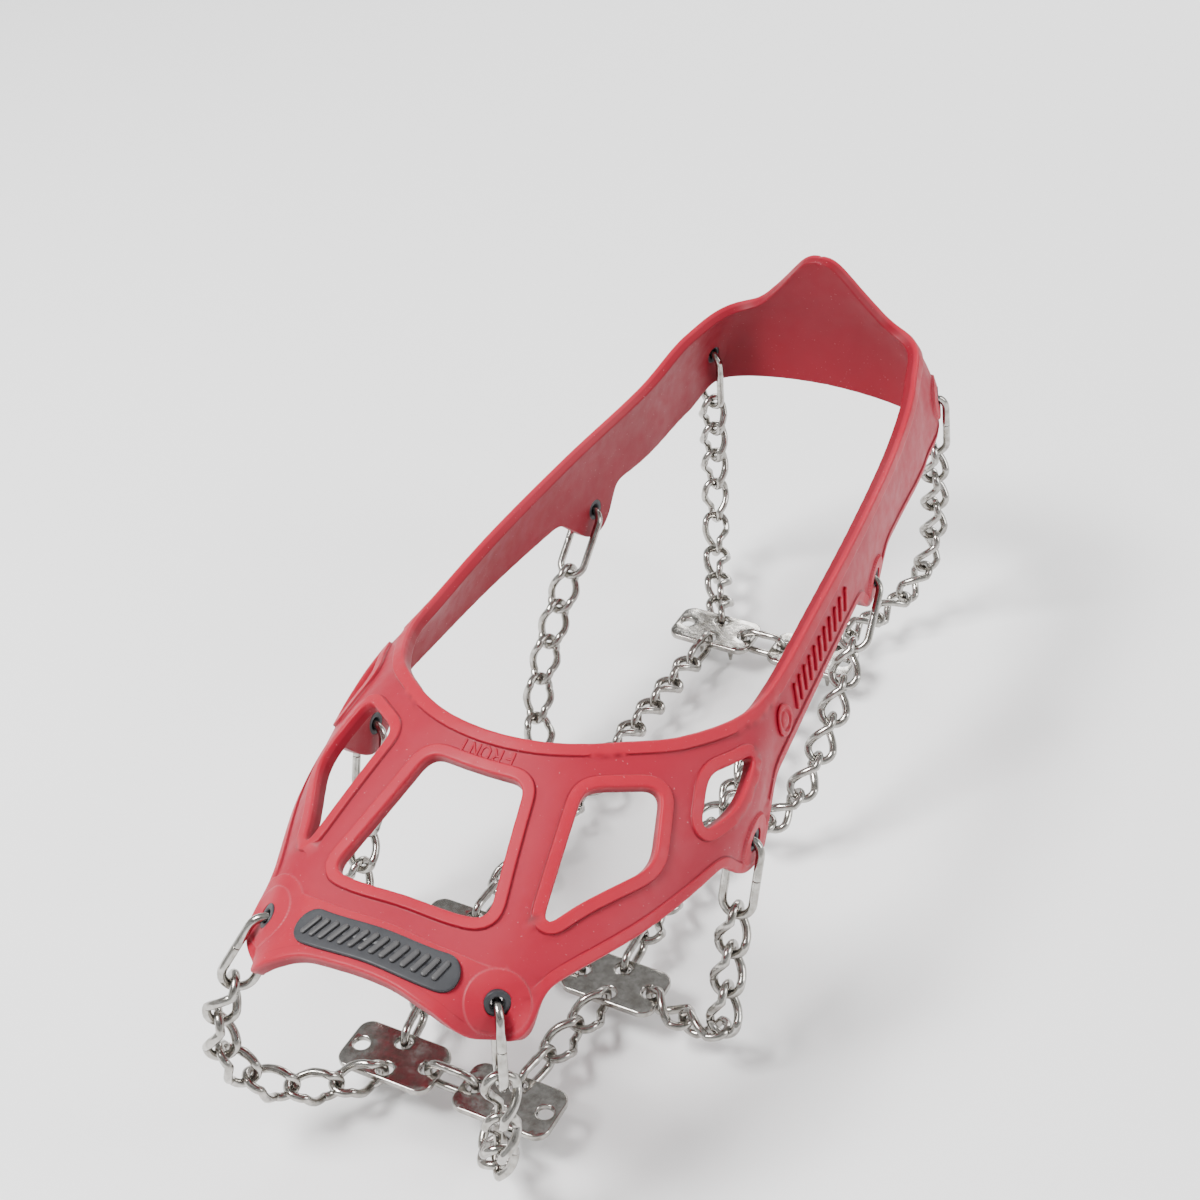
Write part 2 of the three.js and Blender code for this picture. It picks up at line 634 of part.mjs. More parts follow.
addHarness();
addBadge();
Object.entries(SIDES).forEach(([sideName, side]) => {
  const net = netLayout(side);
  const { holeX, holeY } = PLATE;
  const holes = {
    toe: offset(net.toe, 0, -holeY),
    ball: offset(net.ball, side * holeX, 0),
    arch: offset(net.ring, side * net.hook, 0),
    rear: offset(net.heel, 0, holeY),
  };
  Object.entries(STRANDS).forEach(([name, strand]) => {
    addEyelet(name, strand, sideName);
    addStrand(name, sideName, strand, holes[name]);
  });
  ['toe', 'ball', 'heel'].forEach((name) => addPlate(`${name}_${sideName}`, net[name]));
  addRing(sideName, net.ring);
  const runs = {
    front: [offset(net.toe, 0, holeY), offset(net.ball, 0, -holeY)],
    middle: [offset(net.ball, 0, holeY), offset(net.ring, 0, -net.hook)],
    rear: [offset(net.heel, 0, -holeY), offset(net.ring, 0, net.hook)],
  };
  Object.entries(runs).forEach(([name, [from, to]]) => {
    addRun(`side_chain_${name}_${sideName}`, from, to, LENGTHWISE[name]);
  });
});
Object.entries(CROSS).forEach(([name, count]) => {
  const [left, right] = [netLayout(-1)[name], netLayout(1)[name]];
  addRun(`cross_chain_${name}`, offset(left, PLATE.holeX, 0), offset(right, -PLATE.holeX, 0), count);
});

export default group;
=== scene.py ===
"""Slip-on ice cleats: the moulded elastomer harness with its eyelets and badge, and the net of
chain with its spike plates. Shapes are worked out in millimetres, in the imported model's frame,
and become metres as each mesh is made."""
import json
import math

import bmesh
import bpy
import numpy as np
from mathutils import Matrix, Quaternion, Vector
from mathutils.geometry import delaunay_2d_cdt
from mathutils.kdtree import KDTree


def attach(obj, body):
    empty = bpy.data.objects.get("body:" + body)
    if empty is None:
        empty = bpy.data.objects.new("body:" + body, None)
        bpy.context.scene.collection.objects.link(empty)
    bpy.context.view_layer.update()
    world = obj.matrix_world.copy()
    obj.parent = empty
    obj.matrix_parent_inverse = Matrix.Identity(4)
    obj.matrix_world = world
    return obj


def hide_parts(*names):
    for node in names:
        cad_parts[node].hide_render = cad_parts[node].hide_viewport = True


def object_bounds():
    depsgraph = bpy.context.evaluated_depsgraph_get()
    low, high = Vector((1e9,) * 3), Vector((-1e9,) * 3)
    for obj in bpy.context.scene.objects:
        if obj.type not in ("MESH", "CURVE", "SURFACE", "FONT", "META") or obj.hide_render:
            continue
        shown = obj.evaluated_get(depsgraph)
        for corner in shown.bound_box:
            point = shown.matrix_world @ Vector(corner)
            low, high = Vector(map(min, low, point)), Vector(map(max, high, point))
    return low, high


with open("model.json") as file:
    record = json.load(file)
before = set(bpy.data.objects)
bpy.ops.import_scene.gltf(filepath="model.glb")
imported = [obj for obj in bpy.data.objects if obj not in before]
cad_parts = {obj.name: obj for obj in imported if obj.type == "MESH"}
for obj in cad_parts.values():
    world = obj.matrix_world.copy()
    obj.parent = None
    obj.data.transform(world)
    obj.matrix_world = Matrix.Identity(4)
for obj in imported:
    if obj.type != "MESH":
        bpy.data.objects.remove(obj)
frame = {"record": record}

CAD_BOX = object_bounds()
MM = 0.001
BODIES = frame["record"]["behaviour"]["bodies"]
BODY_OF = {node: body for body, nodes in BODIES.items() for node in nodes}

# ---- Driving dimensions, as in the CAD ----

SKIN = 3.2
# Lower edge, half-way line and upper edge of the harness's outer face at thirteen stations,
# from the middle of the toe round the +X side to the middle of the heel.
STATIONS = np.array([
    [[0, -137.7, 65.0], [0, -103, 73.2], [0, -69.5, 86.2]],
    [[18, -137.2, 63], [15, -102.8, 73.3], [12, -68, 86]],
    [[33, -133, 59.5], [27.7, -98.8, 73.5], [22, -64, 85.5]],
    [[43, -115.5, 60.5], [36.5, -85.6, 73.8], [31, -57.5, 84.3]],
    [[54.5, -88, 59], [47.8, -67.8, 72.2], [41, -47.5, 81.7]],
    [[60, -52, 55.8], [57.6, -42, 67.9], [49.3, -30, 78]],
    [[58, -22, 58], [55.6, -17, 67.4], [51.7, -12, 76.7]],
    [[54.5, 18, 60.5], [53.4, 18, 69.9], [50.7, 18, 79.3]],
    [[50, 62, 60.5], [49.8, 61, 71], [48, 60, 81.5]],
    [[45.8, 100, 58], [45.6, 101, 71], [43.6, 102, 84]],
    [[43.5, 130, 60], [43, 129.5, 75], [39, 128.5, 91]],
    [[37, 152, 64], [36, 152, 79], [29, 149, 95]],
    [[0, 157, 67], [0, 156.5, 83], [0, 153, 99]],
])
LAST = len(STATIONS) - 1
MIDDLE_WINDOW = [(-1.44, 0.315), (1.4, 0.32), (1.07, 0.845), (-1.1, 0.85)]
SIDE_WINDOWS = [
    [(2.36, 0.27), (3.86, 0.3), (3.84, 0.72), (2.38, 0.81)],
    [(4.36, 0.34), (4.83, 0.38), (5.18, 0.69), (4.44, 0.71)],
]
WINDOW_CORNER = 4.5
TAB = {"half_width": 13, "foot": 22, "corner": 5, "rise": 20}
# A lug's tip radius, then towards the toe and towards the heel how far its foot reaches and the
# share of a half turn where it joins its tip.
HANGING_LUG = {"tip": 9.5, "reach": (18, 14), "spread": (0.3, 0.15)}
CORNER_LUG = {"tip": 9.7, "reach": (23, 12), "spread": (0.46, 0.25)}
BEND_RADIUS = {"right": 17, "left": 38}
BEND_SPREAD, BEND_V = 0.55, 0.16
TUCK = {"depth": 3, "t": -3.6, "spread": 1}
BADGE_LENGTH, BADGE_HEIGHT, BADGE_SPOT = 46, 10, (0, 0.1)

WIRE = 2.4
TWISTED = {"length": 17, "width": 10, "twist": math.pi / 2}
PLAIN = {"length": 17, "width": 10, "twist": 0}
CONNECTOR = {"length": 25, "width": 11, "twist": 0}
RING_RADIUS = 6.2
NET_Z = -5
PLATE = {"length": 28.8, "width": 17, "thick": 2, "corner": 4, "hole": 2.3, "hole_x": 10.5, "hole_y": 5}
SPIKE = {"base": 3, "tip": 0.5, "height": 9.8, "x": 5.4}
LINK_PLAY = 0.5
# How far a link's pivot lies from the middle of its wire.
HELD = 0  # where the wire stands in the middle of a hole
FREE = (WIRE + LINK_PLAY) / 2  # where two links bear on one another
JOINED = (WIRE - 0.4) / 2  # between links of one chain section

# Each strand on each side: links after the connecting link, the eyelet's place (t, v) and the
# corner that the strand turns round at the edge of the sole.
STRANDS = {
    "toe": {"right": (5, (1.99, 0.05), (33, -150, 2)), "left": (6, (-2.25, 0.03), (-44, -150, -1))},
    "ball": {"right": (5, (5.37, -0.23), (60, -66, -6)), "left": (5, (-5.37, -0.23), (-60, -66, -6))},
    "arch": {"right": (6, (8.23, -0.2), (40, 12, -6)), "left": (6, (-8.23, -0.2), (-40, 12, -6))},
    "rear": {"right": (8, (10.7, 0.43), (46, 160, -6)), "left": (8, (-10.7, 0.43), (-46, 160, -6))},
}
LOOSE_LINKS = 2
SIDES = {"right": 1, "left": -1}
CROSS = {"toe": 1, "ball": 2, "heel": 1}
LENGTHWISE = {"front": 3, "middle": 5, "rear": 6}
RING_X = 22
BALL_Y = -58

# ---- Moulded detail ----

LOOP_STEP = 0.95  # spacing of vertices along an edge
FINE_STEP = 0.3  # spacing of places that measure how near an edge is
FILL_STEP = 1.8  # spacing of vertices between the edges
ROUND = 0.8  # radius of the harness's outer edges
INNER_ROUND = 0.5  # radius of its inner edges
FILLET = (0, 0.12, 0.35, 0.8)  # rows of vertices over a rounded edge
SOFT = 0.11  # half the width of a step in the moulding
STEP_ROWS = (-0.4, -SOFT, 0, SOFT, 0.45)  # rows of vertices across a step
LINE = 0.3  # half the width of a painted line along a step: painted highlight on the band's and bosses' steps, painted shade at the rims' feet
EDGE_EASING, WINDOW_EASING = 14, 4  # passes that ease the corners of the outline and the windows
INSIDE = -2  # "raised" on the side that faces the boot, which the material paints in shade, with the walls that run down to it
WINDOW_RIM, WINDOW_RAISE = 3.3, 0.85
UPPER_RIM, UPPER_RAISE = 3.7, 0.7
LOWER_RIM, LOWER_RAISE = 3.0, 0.5
BAND_TOP = (-0.005, -0.0077, 0.2)  # top of the raised band with the badge: v as a quadratic in t
BAND_SLOPE = 71  # millimetres to a unit of v there
BAND_END = 11.5  # radius of the band's left end, about its eyelet
SEAM_SLOPE = 32  # millimetres to a unit of v at the heel
# The round boss about each eyelet: its radius, and how far it stands above its lug.
BOSS = {"toe": (8.1, -0.15), "ball": (7.2, 0.28), "arch": (6.9, 0.28), "rear": (7.2, 0.28)}
# How much thinner a toe lug's tip is, for its link to pass, and the radii over which that fades.
TIP_DIP, TIP_FADE = 0.3, (9.5, 13)
BORE = 3.25
BORE_ROUND = 0.55  # how much less a bore's edges are rounded
GROMMET_OUTER, GROMMET_INNER = 3.45, 1.75
GROMMET_LIP = 0.55  # radius of its rounded lips
STUD_SPOT, STRAP_RIBS = (6.1, 0.47), np.linspace(6.4, 7.5, 11)
PLATE_BEVEL = 0.45
# Where a link's side bends about the seam of its wire, or its weld, from the foot inwards.
SEAM_MARKS, SEAM_DEPTH = (0.75, 0.45, 0.17, 0.09, 0.07), 0.3
WELD_MARKS, WELD_RISE = (1.6, 1.0, 0.5), 0.09
# The strokes of each letter, 4 high, as lines through points.
LETTERS = {
    "F": [[(0, 0), (0, 4), (2.2, 4)], [(0, 2.1), (1.8, 2.1)]],
    "R": [[(0, 0), (0, 4), (1.6, 4), (2.3, 3.1), (1.6, 2.1), (0, 2.1)], [(1.2, 2.1), (2.4, 0)]],
    "O": [[(0.8, 0), (1.8, 0), (2.6, 0.9), (2.6, 3.1), (1.8, 4), (0.8, 4), (0, 3.1), (0, 0.9), (0.8, 0)]],
    "N": [[(0, 0), (0, 4), (2.3, 0), (2.3, 4)]],
    "T": [[(1.2, 0), (1.2, 4)], [(0, 4), (2.4, 4)]],
}
LETTER_SCALE, LETTER_PITCH = 0.85, 3.2
WORD_START = (-7.6, -1.7)

# ---- Stage, in metres and degrees ----

CAMERA = {"place": (0.21901, -0.40571, 0.4163), "azimuth": 29.03, "elevation": 36, "roll": 3.29,
          "lens": 61.42}
FLOOR = {"flat": 2.2, "bend": 0.8, "wall": 1.8, "gap": 0.0006}
# Each lamp's place, size and power.
LAMPS = {
    "key": ((-0.6, -0.6, 1.3), (0.6, 0.5), 48),
    "right": ((1.3, 0.3, 0.8), (0.5, 0.7), 12),
    "back": ((-0.1, 1.3, 0.7), (0.9, 0.4), 11),
}


# ---- The harness's outer face ----

MIRROR = np.array([-1, 1, 1])
CONTROL = np.concatenate([STATIONS[1:2] * MIRROR, STATIONS, STATIONS[-2:-1] * MIRROR])


def rails(t):
    """The three rails at stations t (0 to LAST), by Catmull-Rom."""
    i = np.clip(np.floor(t).astype(int), 0, LAST - 1)
    u = (t - i)[:, None, None]
    a, b, c, d = (CONTROL[i + k] for k in range(4))
    cubic = 3 * b - a - 3 * c + d
    square = 2 * a - 5 * b + 4 * c - d
    return 0.5 * (2 * b + (c - a) * u + square * u**2 + cubic * u**3)


def plain_face(uv):
    """Points of the face at (t, v), straight beyond its lower and upper edges."""
    t, v = uv[:, 0], uv[:, 1:2]
    lower, middle, upper = np.moveaxis(rails(np.abs(t)), 1, 0)
    w = np.clip(v, 0, 1)
    p = lower * (1 - w) * (1 - 2 * w) + middle * 4 * w * (1 - w) + upper * w * (2 * w - 1)
    p += (4 * middle - 3 * lower - upper) * np.minimum(v, 0)
    p += (3 * upper - 4 * middle + lower) * np.maximum(v - 1, 0)
    p[:, 0] *= np.where(t < 0, -1, 1)
    near = np.exp(-(((t - TUCK["t"]) / TUCK["spread"]) ** 2))
    p[:, 0] += TUCK["depth"] * near * np.maximum(1 - 2 * v[:, 0], 0) ** 2
    return p


def unit(vectors):
    return vectors / np.linalg.norm(vectors, axis=-1, keepdims=True)


def frames(uv, surface):
    """Derivatives along t and v, and the outward normals."""
    step = 0.01
    t, v = np.clip(uv[:, 0], step - LAST, LAST - step), uv[:, 1]
    along = surface(np.column_stack([t + step, v])) - surface(np.column_stack([t - step, v]))
    up = surface(np.column_stack([t, v + step])) - surface(np.column_stack([t, v - step]))
    normal = np.cross(along, up)
    normal[np.abs(uv[:, 0]) > LAST - 1e-6, 0] = 0
    return along / (2 * step), up / (2 * step), unit(normal)


def face(uv):
    """Points of the face, with the toe corners bent down where the chain pulls them."""
    uv = np.asarray(uv, float)
    p = plain_face(uv)
    t, v = uv.T
    left, right = (STRANDS["toe"][side][1][0] for side in ("left", "right"))
    away = np.where(t < 0, t - left, t - right)
    radius = np.where(t < 0, BEND_RADIUS["left"], BEND_RADIUS["right"])
    curvature = np.exp(-((away / BEND_SPREAD) ** 2)) / radius
    bent = (v < BEND_V) & (curvature > 1e-5)
    if bent.any():
        _, up, normal = frames(np.column_stack([t[bent], np.full(bent.sum(), BEND_V)]), plain_face)
        curve = curvature[bent, None]
        run = (BEND_V - v[bent, None]) * np.linalg.norm(up, axis=1, keepdims=True)
        p[bent] += unit(up) * (run - np.sin(run * curve) / curve)
        p[bent] += normal * (np.cos(run * curve) - 1) / curve
    return p


def face_frames(uv):
    return frames(np.asarray(uv, float), face)


def moved(uv, shift):
    """Places (t, v) moved over the face by vectors that lie in it."""
    along, up, _ = face_frames(uv)
    aa, au, uu = (np.sum(p * q, axis=1) for p, q in ((along, along), (along, up), (up, up)))
    a, u = np.sum(along * shift, axis=1), np.sum(up * shift, axis=1)
    span = aa * uu - au**2
    return uv + np.column_stack([(uu * a - au * u) / span, (aa * u - au * a) / span])


def beside(spot, a, b):
    """The places a millimetres along the harness and b millimetres up it from a spot."""
    along, up, _ = (vectors[0] for vectors in face_frames([spot]))
    pace = np.linalg.norm(along)
    lean = up @ along / pace
    rise = np.asarray(b, float) / math.sqrt(up @ up - lean**2)
    return np.column_stack([spot[0] + (a - rise * lean) / pace, spot[1] + rise])


def circle(spot, radius, start=0.0, end=2 * math.pi, step=LOOP_STEP):
    """Places at a straight distance from a spot, anticlockwise seen from outside."""
    count = max(int(abs(end - start) * radius / step), 8)
    angles = np.linspace(start, end, count + 1)
    if abs(end - start) > 6:
        angles = angles[:-1]
    centre = face([spot])[0]
    along, up, _ = (vectors[0] for vectors in face_frames([spot]))
    along = unit(along)
    axes = np.array([along, unit(up - along * (up @ along))])
    directions = np.column_stack([np.cos(angles), np.sin(angles)])
    uv = beside(spot, *(radius * directions.T))
    for _ in range(4):
        way = face(uv) - centre
        flat = way @ axes.T
        reach = radius * np.linalg.norm(flat, axis=1) / np.linalg.norm(way, axis=1)
        uv = moved(uv, (directions * reach[:, None] - flat) @ axes)
    return uv


# ---- The harness ----

def spaced(uv, step, closed):
    """The line through uv with its points an even distance apart on the face."""
    line = np.vstack([uv, uv[:1]]) if closed else np.asarray(uv)
    spans = [np.linspace(a, b, 24, endpoint=False) for a, b in zip(line[:-1], line[1:])]
    fine = np.vstack([*spans, line[-1:]])
    lengths = np.linalg.norm(np.diff(face(fine), axis=0), axis=1)
    run = np.concatenate([[0], np.cumsum(lengths)])
    at = np.linspace(0, run[-1], max(int(run[-1] / step), 3) + 1)
    points = np.column_stack([np.interp(at, run, fine[:, k]) for k in range(2)])
    return points[:-1] if closed else points


def eased(uv, passes, closed):
    """The line with its corners eased."""
    for _ in range(passes):
        if closed:
            uv = (np.roll(uv, 1, axis=0) + 2 * uv + np.roll(uv, -1, axis=0)) / 4
        else:
            uv = np.vstack([uv[:1], (uv[:-2] + 2 * uv[1:-1] + uv[2:]) / 4, uv[-1:]])
    return spaced(uv, LOOP_STEP, closed)


def rounded_window(corners):
    points = np.array(corners, float)
    loop = []
    for i, corner in enumerate(points):
        ends = []
        for other in (points[i - 1], points[(i + 1) % len(points)]):
            span = np.linalg.norm(np.subtract(*face([corner, other])))
            ends.append(corner + (other - corner) * min(WINDOW_CORNER / span, 0.45))
        for u in np.linspace(0, 1, 9):
            loop.append(ends[0] * (1 - u) ** 2 + 2 * corner * u * (1 - u) + ends[1] * u**2)
    return eased(spaced(np.array(loop), LOOP_STEP, True), WINDOW_EASING, True)[::-1]


def mirrored(uv):
    return (uv * [-1, 1])[::-1]


def strand_spots():
    return {(name, side): np.array(spot) for name, sides in STRANDS.items()
            for side, (_, spot, _) in sides.items()}


def lug_of(spot):
    return HANGING_LUG if spot[1] < 0 else CORNER_LUG


def lower_edge():
    lugs = sorted((spot for spot in strand_spots().values() if spot[1] < 0.3), key=lambda s: s[0])
    line = [(-LAST, 0)]
    for spot in lugs:
        lug = lug_of(spot)
        before, after = (0, 1) if spot[0] > 0 else (1, 0)
        feet = beside((spot[0], 0), np.array([-lug["reach"][before], lug["reach"][after]]), np.zeros(2))
        start, end = 1 + lug["spread"][before], 2 - lug["spread"][after]
        tip = circle(spot, lug["tip"], math.pi * start, math.pi * end)
        line += [(feet[0, 0], 0), *tip, (feet[1, 0], 0)]
    line.append((LAST, 0))
    return eased(spaced(np.array(line, float), LOOP_STEP, False), EDGE_EASING, False)


def upper_edge():
    slope = np.linalg.norm(face_frames([(LAST, 1)])[1])
    shifts = np.array([-TAB["foot"], -TAB["half_width"], TAB["corner"] - TAB["half_width"]])
    foot, edge, corner = beside((LAST - 0.02, 1), shifts, np.zeros(3))[:, 0]
    top = 1 + TAB["rise"] / slope
    tab = np.array([[LAST, top], [corner, top], [edge, top - TAB["corner"] / slope], [foot, 1]])
    line = np.vstack([tab, mirrored(tab)])
    return eased(spaced(line, LOOP_STEP, False), EDGE_EASING, False)


class Chart:
    """A nearly undistorted flat map of the face, for triangulation."""

    t = np.linspace(0, LAST, 601)
    lower, middle, upper = np.moveaxis(rails(t), 1, 0)
    run = np.concatenate([[0], np.cumsum(np.linalg.norm(np.diff(middle, axis=0), axis=1))])
    height = np.linalg.norm(middle - lower, axis=1) + np.linalg.norm(upper - middle, axis=1)

    @classmethod
    def flat(cls, uv):
        x = np.sign(uv[:, 0]) * np.interp(np.abs(uv[:, 0]), cls.t, cls.run)
        return np.column_stack([x, (uv[:, 1] - 0.5) * np.interp(np.abs(uv[:, 0]), cls.t, cls.height)])

    @classmethod
    def place(cls, xy):
        t = np.interp(np.abs(xy[:, 0]), cls.run, cls.t)
        v = xy[:, 1] / np.interp(t, cls.t, cls.height) + 0.5
        return np.column_stack([np.sign(xy[:, 0]) * t, v])


def tree_of(points):
    tree = KDTree(len(points))
    for i, p in enumerate(points):
        tree.insert(p, i)
    tree.balance()
    return tree


def distances(tree, points):
    return np.array([tree.find(p)[2] for p in points])


def inside(loops, xy):
    """Whether each point lies within the first loop and outside the others (odd crossings)."""
    odd = np.zeros(len(xy), bool)
    for loop in loops:
        for (ax, ay), (bx, by) in zip(loop, np.roll(loop, -1, axis=0)):
            crosses = (ay > xy[:, 1]) != (by > xy[:, 1])
            if ay != by:
                odd ^= crosses & (xy[:, 0] < (bx - ax) * (xy[:, 1] - ay) / (by - ay) + ax)
    return odd


def smooth_step(beyond):
    """1 short of an edge, 0 beyond it, with a soft step between."""
    w = np.clip((SOFT - beyond) / (2 * SOFT), 0, 1)
    return w * w * (3 - 2 * w)


def line_mark(beyond):
    """1 on a line, falling to 0 beside it."""
    return np.clip(1 - np.abs(beyond) / LINE, 0, 1)


def band_top(t):
    return np.polyval(BAND_TOP, t)


class Moulding:
    """The harness's edges, and how high its outer surface stands at any place."""

    def __init__(self):
        self.lower, self.upper = lower_edge(), upper_edge()
        side = [rounded_window(corners) for corners in SIDE_WINDOWS]
        self.windows = [rounded_window(MIDDLE_WINDOW), *side, *(mirrored(w) for w in side)]
        self.spots = strand_spots()
        self.bores = [circle(spot, BORE, step=0.6)[::-1] for spot in self.spots.values()]
        fine_windows = [spaced(w, FINE_STEP, True) for w in self.windows]
        self.trees = {
            "window": tree_of(face(np.vstack(fine_windows))),
            "upper": tree_of(face(spaced(self.upper, FINE_STEP, False))),
            "lower": tree_of(face(spaced(self.lower, FINE_STEP, False))),
        }
        self.centres = {key: face([spot])[0] for key, spot in self.spots.items()}

    def outline(self):
        """The outer edge, anticlockwise, with its two ends on the seam at the heel."""
        seam = np.linspace(self.lower[-1, 1], self.upper[0, 1], 46)[1:-1]
        right = np.column_stack([np.full(len(seam), LAST), seam])
        return np.vstack([self.lower, right, self.upper, mirrored(right)])

    def edge_distance(self, points):
        near = np.minimum.reduce([distances(tree, points) for tree in self.trees.values()])
        for centre in self.centres.values():
            bore = np.abs(np.linalg.norm(points - centre, axis=1) - BORE)
            near = np.minimum(near, bore + BORE_ROUND)
        return near

    def rows(self):
        """Groups of rows of places that follow the moulding's steps and edges."""
        groups = [[(circle(spot, BOSS[name][0] + shift), None) for shift in STEP_ROWS]
                  for (name, _), spot in self.spots.items()]
        for loop, rim, closed in [*((w, WINDOW_RIM, True) for w in self.windows),
                                  (self.upper, UPPER_RIM, False), (self.lower, LOWER_RIM, False)]:
            groups.append([(self.shifted(loop, inset, closed), inset) for inset in FILLET[1:]])
            foot = self.shifted(spaced(loop, FINE_STEP, closed), rim, closed)
            foot = spaced(foot, LOOP_STEP, closed)
            groups.append([(self.shifted(foot, shift, closed), rim + shift) for shift in STEP_ROWS])
        for spot in self.spots.values():
            groups.append([(circle(spot, BORE + inset, step=0.6), inset) for inset in FILLET[1:]])
        end = self.spots["toe", "left"]
        groups.append([(circle(end, BAND_END + shift), None) for shift in STEP_ROWS])
        along = np.linspace(*self.band_ends(), 9)
        lines = [np.column_stack([along, band_top(along) + shift / BAND_SLOPE]) for shift in STEP_ROWS]
        groups.append([(spaced(line, LOOP_STEP, False), None) for line in lines])
        return groups

    def band_ends(self):
        return self.spots["toe", "left"][0], self.spots["toe", "right"][0]

    @staticmethod
    def shifted(loop, inset, closed):
        points = face(loop)
        ahead = np.roll(points, -1, 0) - np.roll(points, 1, 0) if closed else np.gradient(points, axis=0)
        side = unit(np.cross(face_frames(loop)[2], ahead)) * inset
        return moved(loop, side)

    def relief(self, uv, points):
        """How high the moulding stands above the face, rounded edges left out, and its painted lines: 1
        for a painted highlight along the steps of the band and the bosses, -1 for painted shade at the
        foot of a rim's step."""
        rims = [("window", WINDOW_RIM, WINDOW_RAISE), ("upper", UPPER_RIM, UPPER_RAISE),
                ("lower", LOWER_RIM, LOWER_RAISE)]
        away = [distances(self.trees[name], points) - rim for name, rim, _ in rims]
        heights = [smooth_step(d) * rise for d, (_, _, rise) in zip(away, rims)]
        left, right = self.band_ends()
        between = (uv[:, 0] > left) & (uv[:, 0] < right)
        band = np.where(between, (uv[:, 1] - band_top(uv[:, 0])) * BAND_SLOPE, 100)
        end = np.linalg.norm(points - self.centres["toe", "left"], axis=1) - BAND_END
        band = np.minimum(band, end)
        height = np.maximum.reduce([*heights, smooth_step(band) * LOWER_RAISE])
        for side in SIDES:
            away_from_eyelet = np.linalg.norm(points - self.centres["toe", side], axis=1)
            height -= np.minimum(height, TIP_DIP) * np.interp(away_from_eyelet, TIP_FADE, (1, 0))
        # Painted highlight along the band's step, and below along each boss's step.
        step_highlight = line_mark(band) * (height < LOWER_RAISE + 0.05)
        for (name, _), centre in self.centres.items():
            radius, rise = BOSS[name]
            boss = np.linalg.norm(points - centre, axis=1) - radius
            clear = heights[0] < 0.1
            step_highlight = np.maximum(step_highlight, line_mark(boss) * clear)
            within = smooth_step(boss)
            height = np.maximum(height, within * LOWER_RAISE) + within * rise * clear
        # Painted shade at the foot of each rim's step.
        step_foot_shade = [line_mark(d - SOFT) * (height < own + 0.05) for d, own in zip(away, heights)]
        return height, step_highlight - np.maximum.reduce(step_foot_shade) * (step_highlight < 0.3)


def fillet_drop(distance, radius):
    left = np.clip(radius - distance, 0, radius)
    return radius - np.sqrt(radius**2 - left**2)


def scattered(moulding, loops):
    """Places for the harness's vertices: the edges first, then the rows, then an even fill."""
    outline = np.vstack(loops)
    flat_loops = [Chart.flat(loop) for loop in loops]
    places = [outline]
    taken = np.full((1, 3), 1e6)
    for group in moulding.rows():
        kept = []
        for row, inset in group:
            points = face(row)
            clear = 0.5 if inset is None else max(inset - 0.1, 0.08)
            keep = (moulding.edge_distance(points) > clear) & (np.abs(row[:, 0]) < LAST - 0.012)
            keep &= distances(tree_of(taken), points) > 0.4
            kept.append(row[keep & inside(flat_loops, Chart.flat(row))])
        places += kept
        taken = np.vstack([taken, *map(face, kept)])
    rise = FILL_STEP * math.sqrt(3) / 2
    reach = Chart.flat(np.array([[LAST, 0.5]]))[0, 0]
    grid = [(x + FILL_STEP * 0.5 * (j % 2), j * rise)
            for j in range(-40, 41) for x in np.arange(-reach, reach, FILL_STEP)]
    fill = Chart.place(np.array(grid))
    fill = fill[np.abs(fill[:, 0]) < LAST - 0.03]
    fill = fill[inside(flat_loops, Chart.flat(fill))]
    points = face(fill)
    keep = distances(tree_of(np.vstack([taken, face(outline)])), points) > 0.55 * FILL_STEP
    return np.vstack([*places, fill[keep]])


def loop_edges(loops):
    """Pairs of neighbours round each loop, when the loops' points are numbered on."""
    edges, start = [], 0
    for loop in loops:
        edges += [(start + i, start + (i + 1) % len(loop)) for i in range(len(loop))]
        start += len(loop)
    return edges


def triangles_of(loops, uv):
    """Triangles over the places uv, whose first ones are the loops', evened out on the face."""
    flat = Chart.flat(uv)
    made = delaunay_2d_cdt([Vector(p) for p in flat], loop_edges(loops), [], 0, 1e-6)
    if len(made[0]) != len(uv):
        raise ValueError("the harness's edges cross or touch")
    tris = np.array(made[2])
    tris = tris[inside([Chart.flat(loop) for loop in loops], flat[tris].mean(axis=1))]
    bm = bmesh.new()
    verts = [bm.verts.new(p) for p in face(uv)]
    for tri in tris:
        bm.faces.new([verts[i] for i in tri])
    inner = [edge for edge in bm.edges if len(edge.link_faces) == 2]
    bmesh.ops.beautify_fill(bm, faces=bm.faces[:], edges=inner, method="ANGLE")
    bm.verts.index_update()
    tris = np.array([[v.index for v in f.verts] for f in bm.faces])
    bm.free()
    return tris


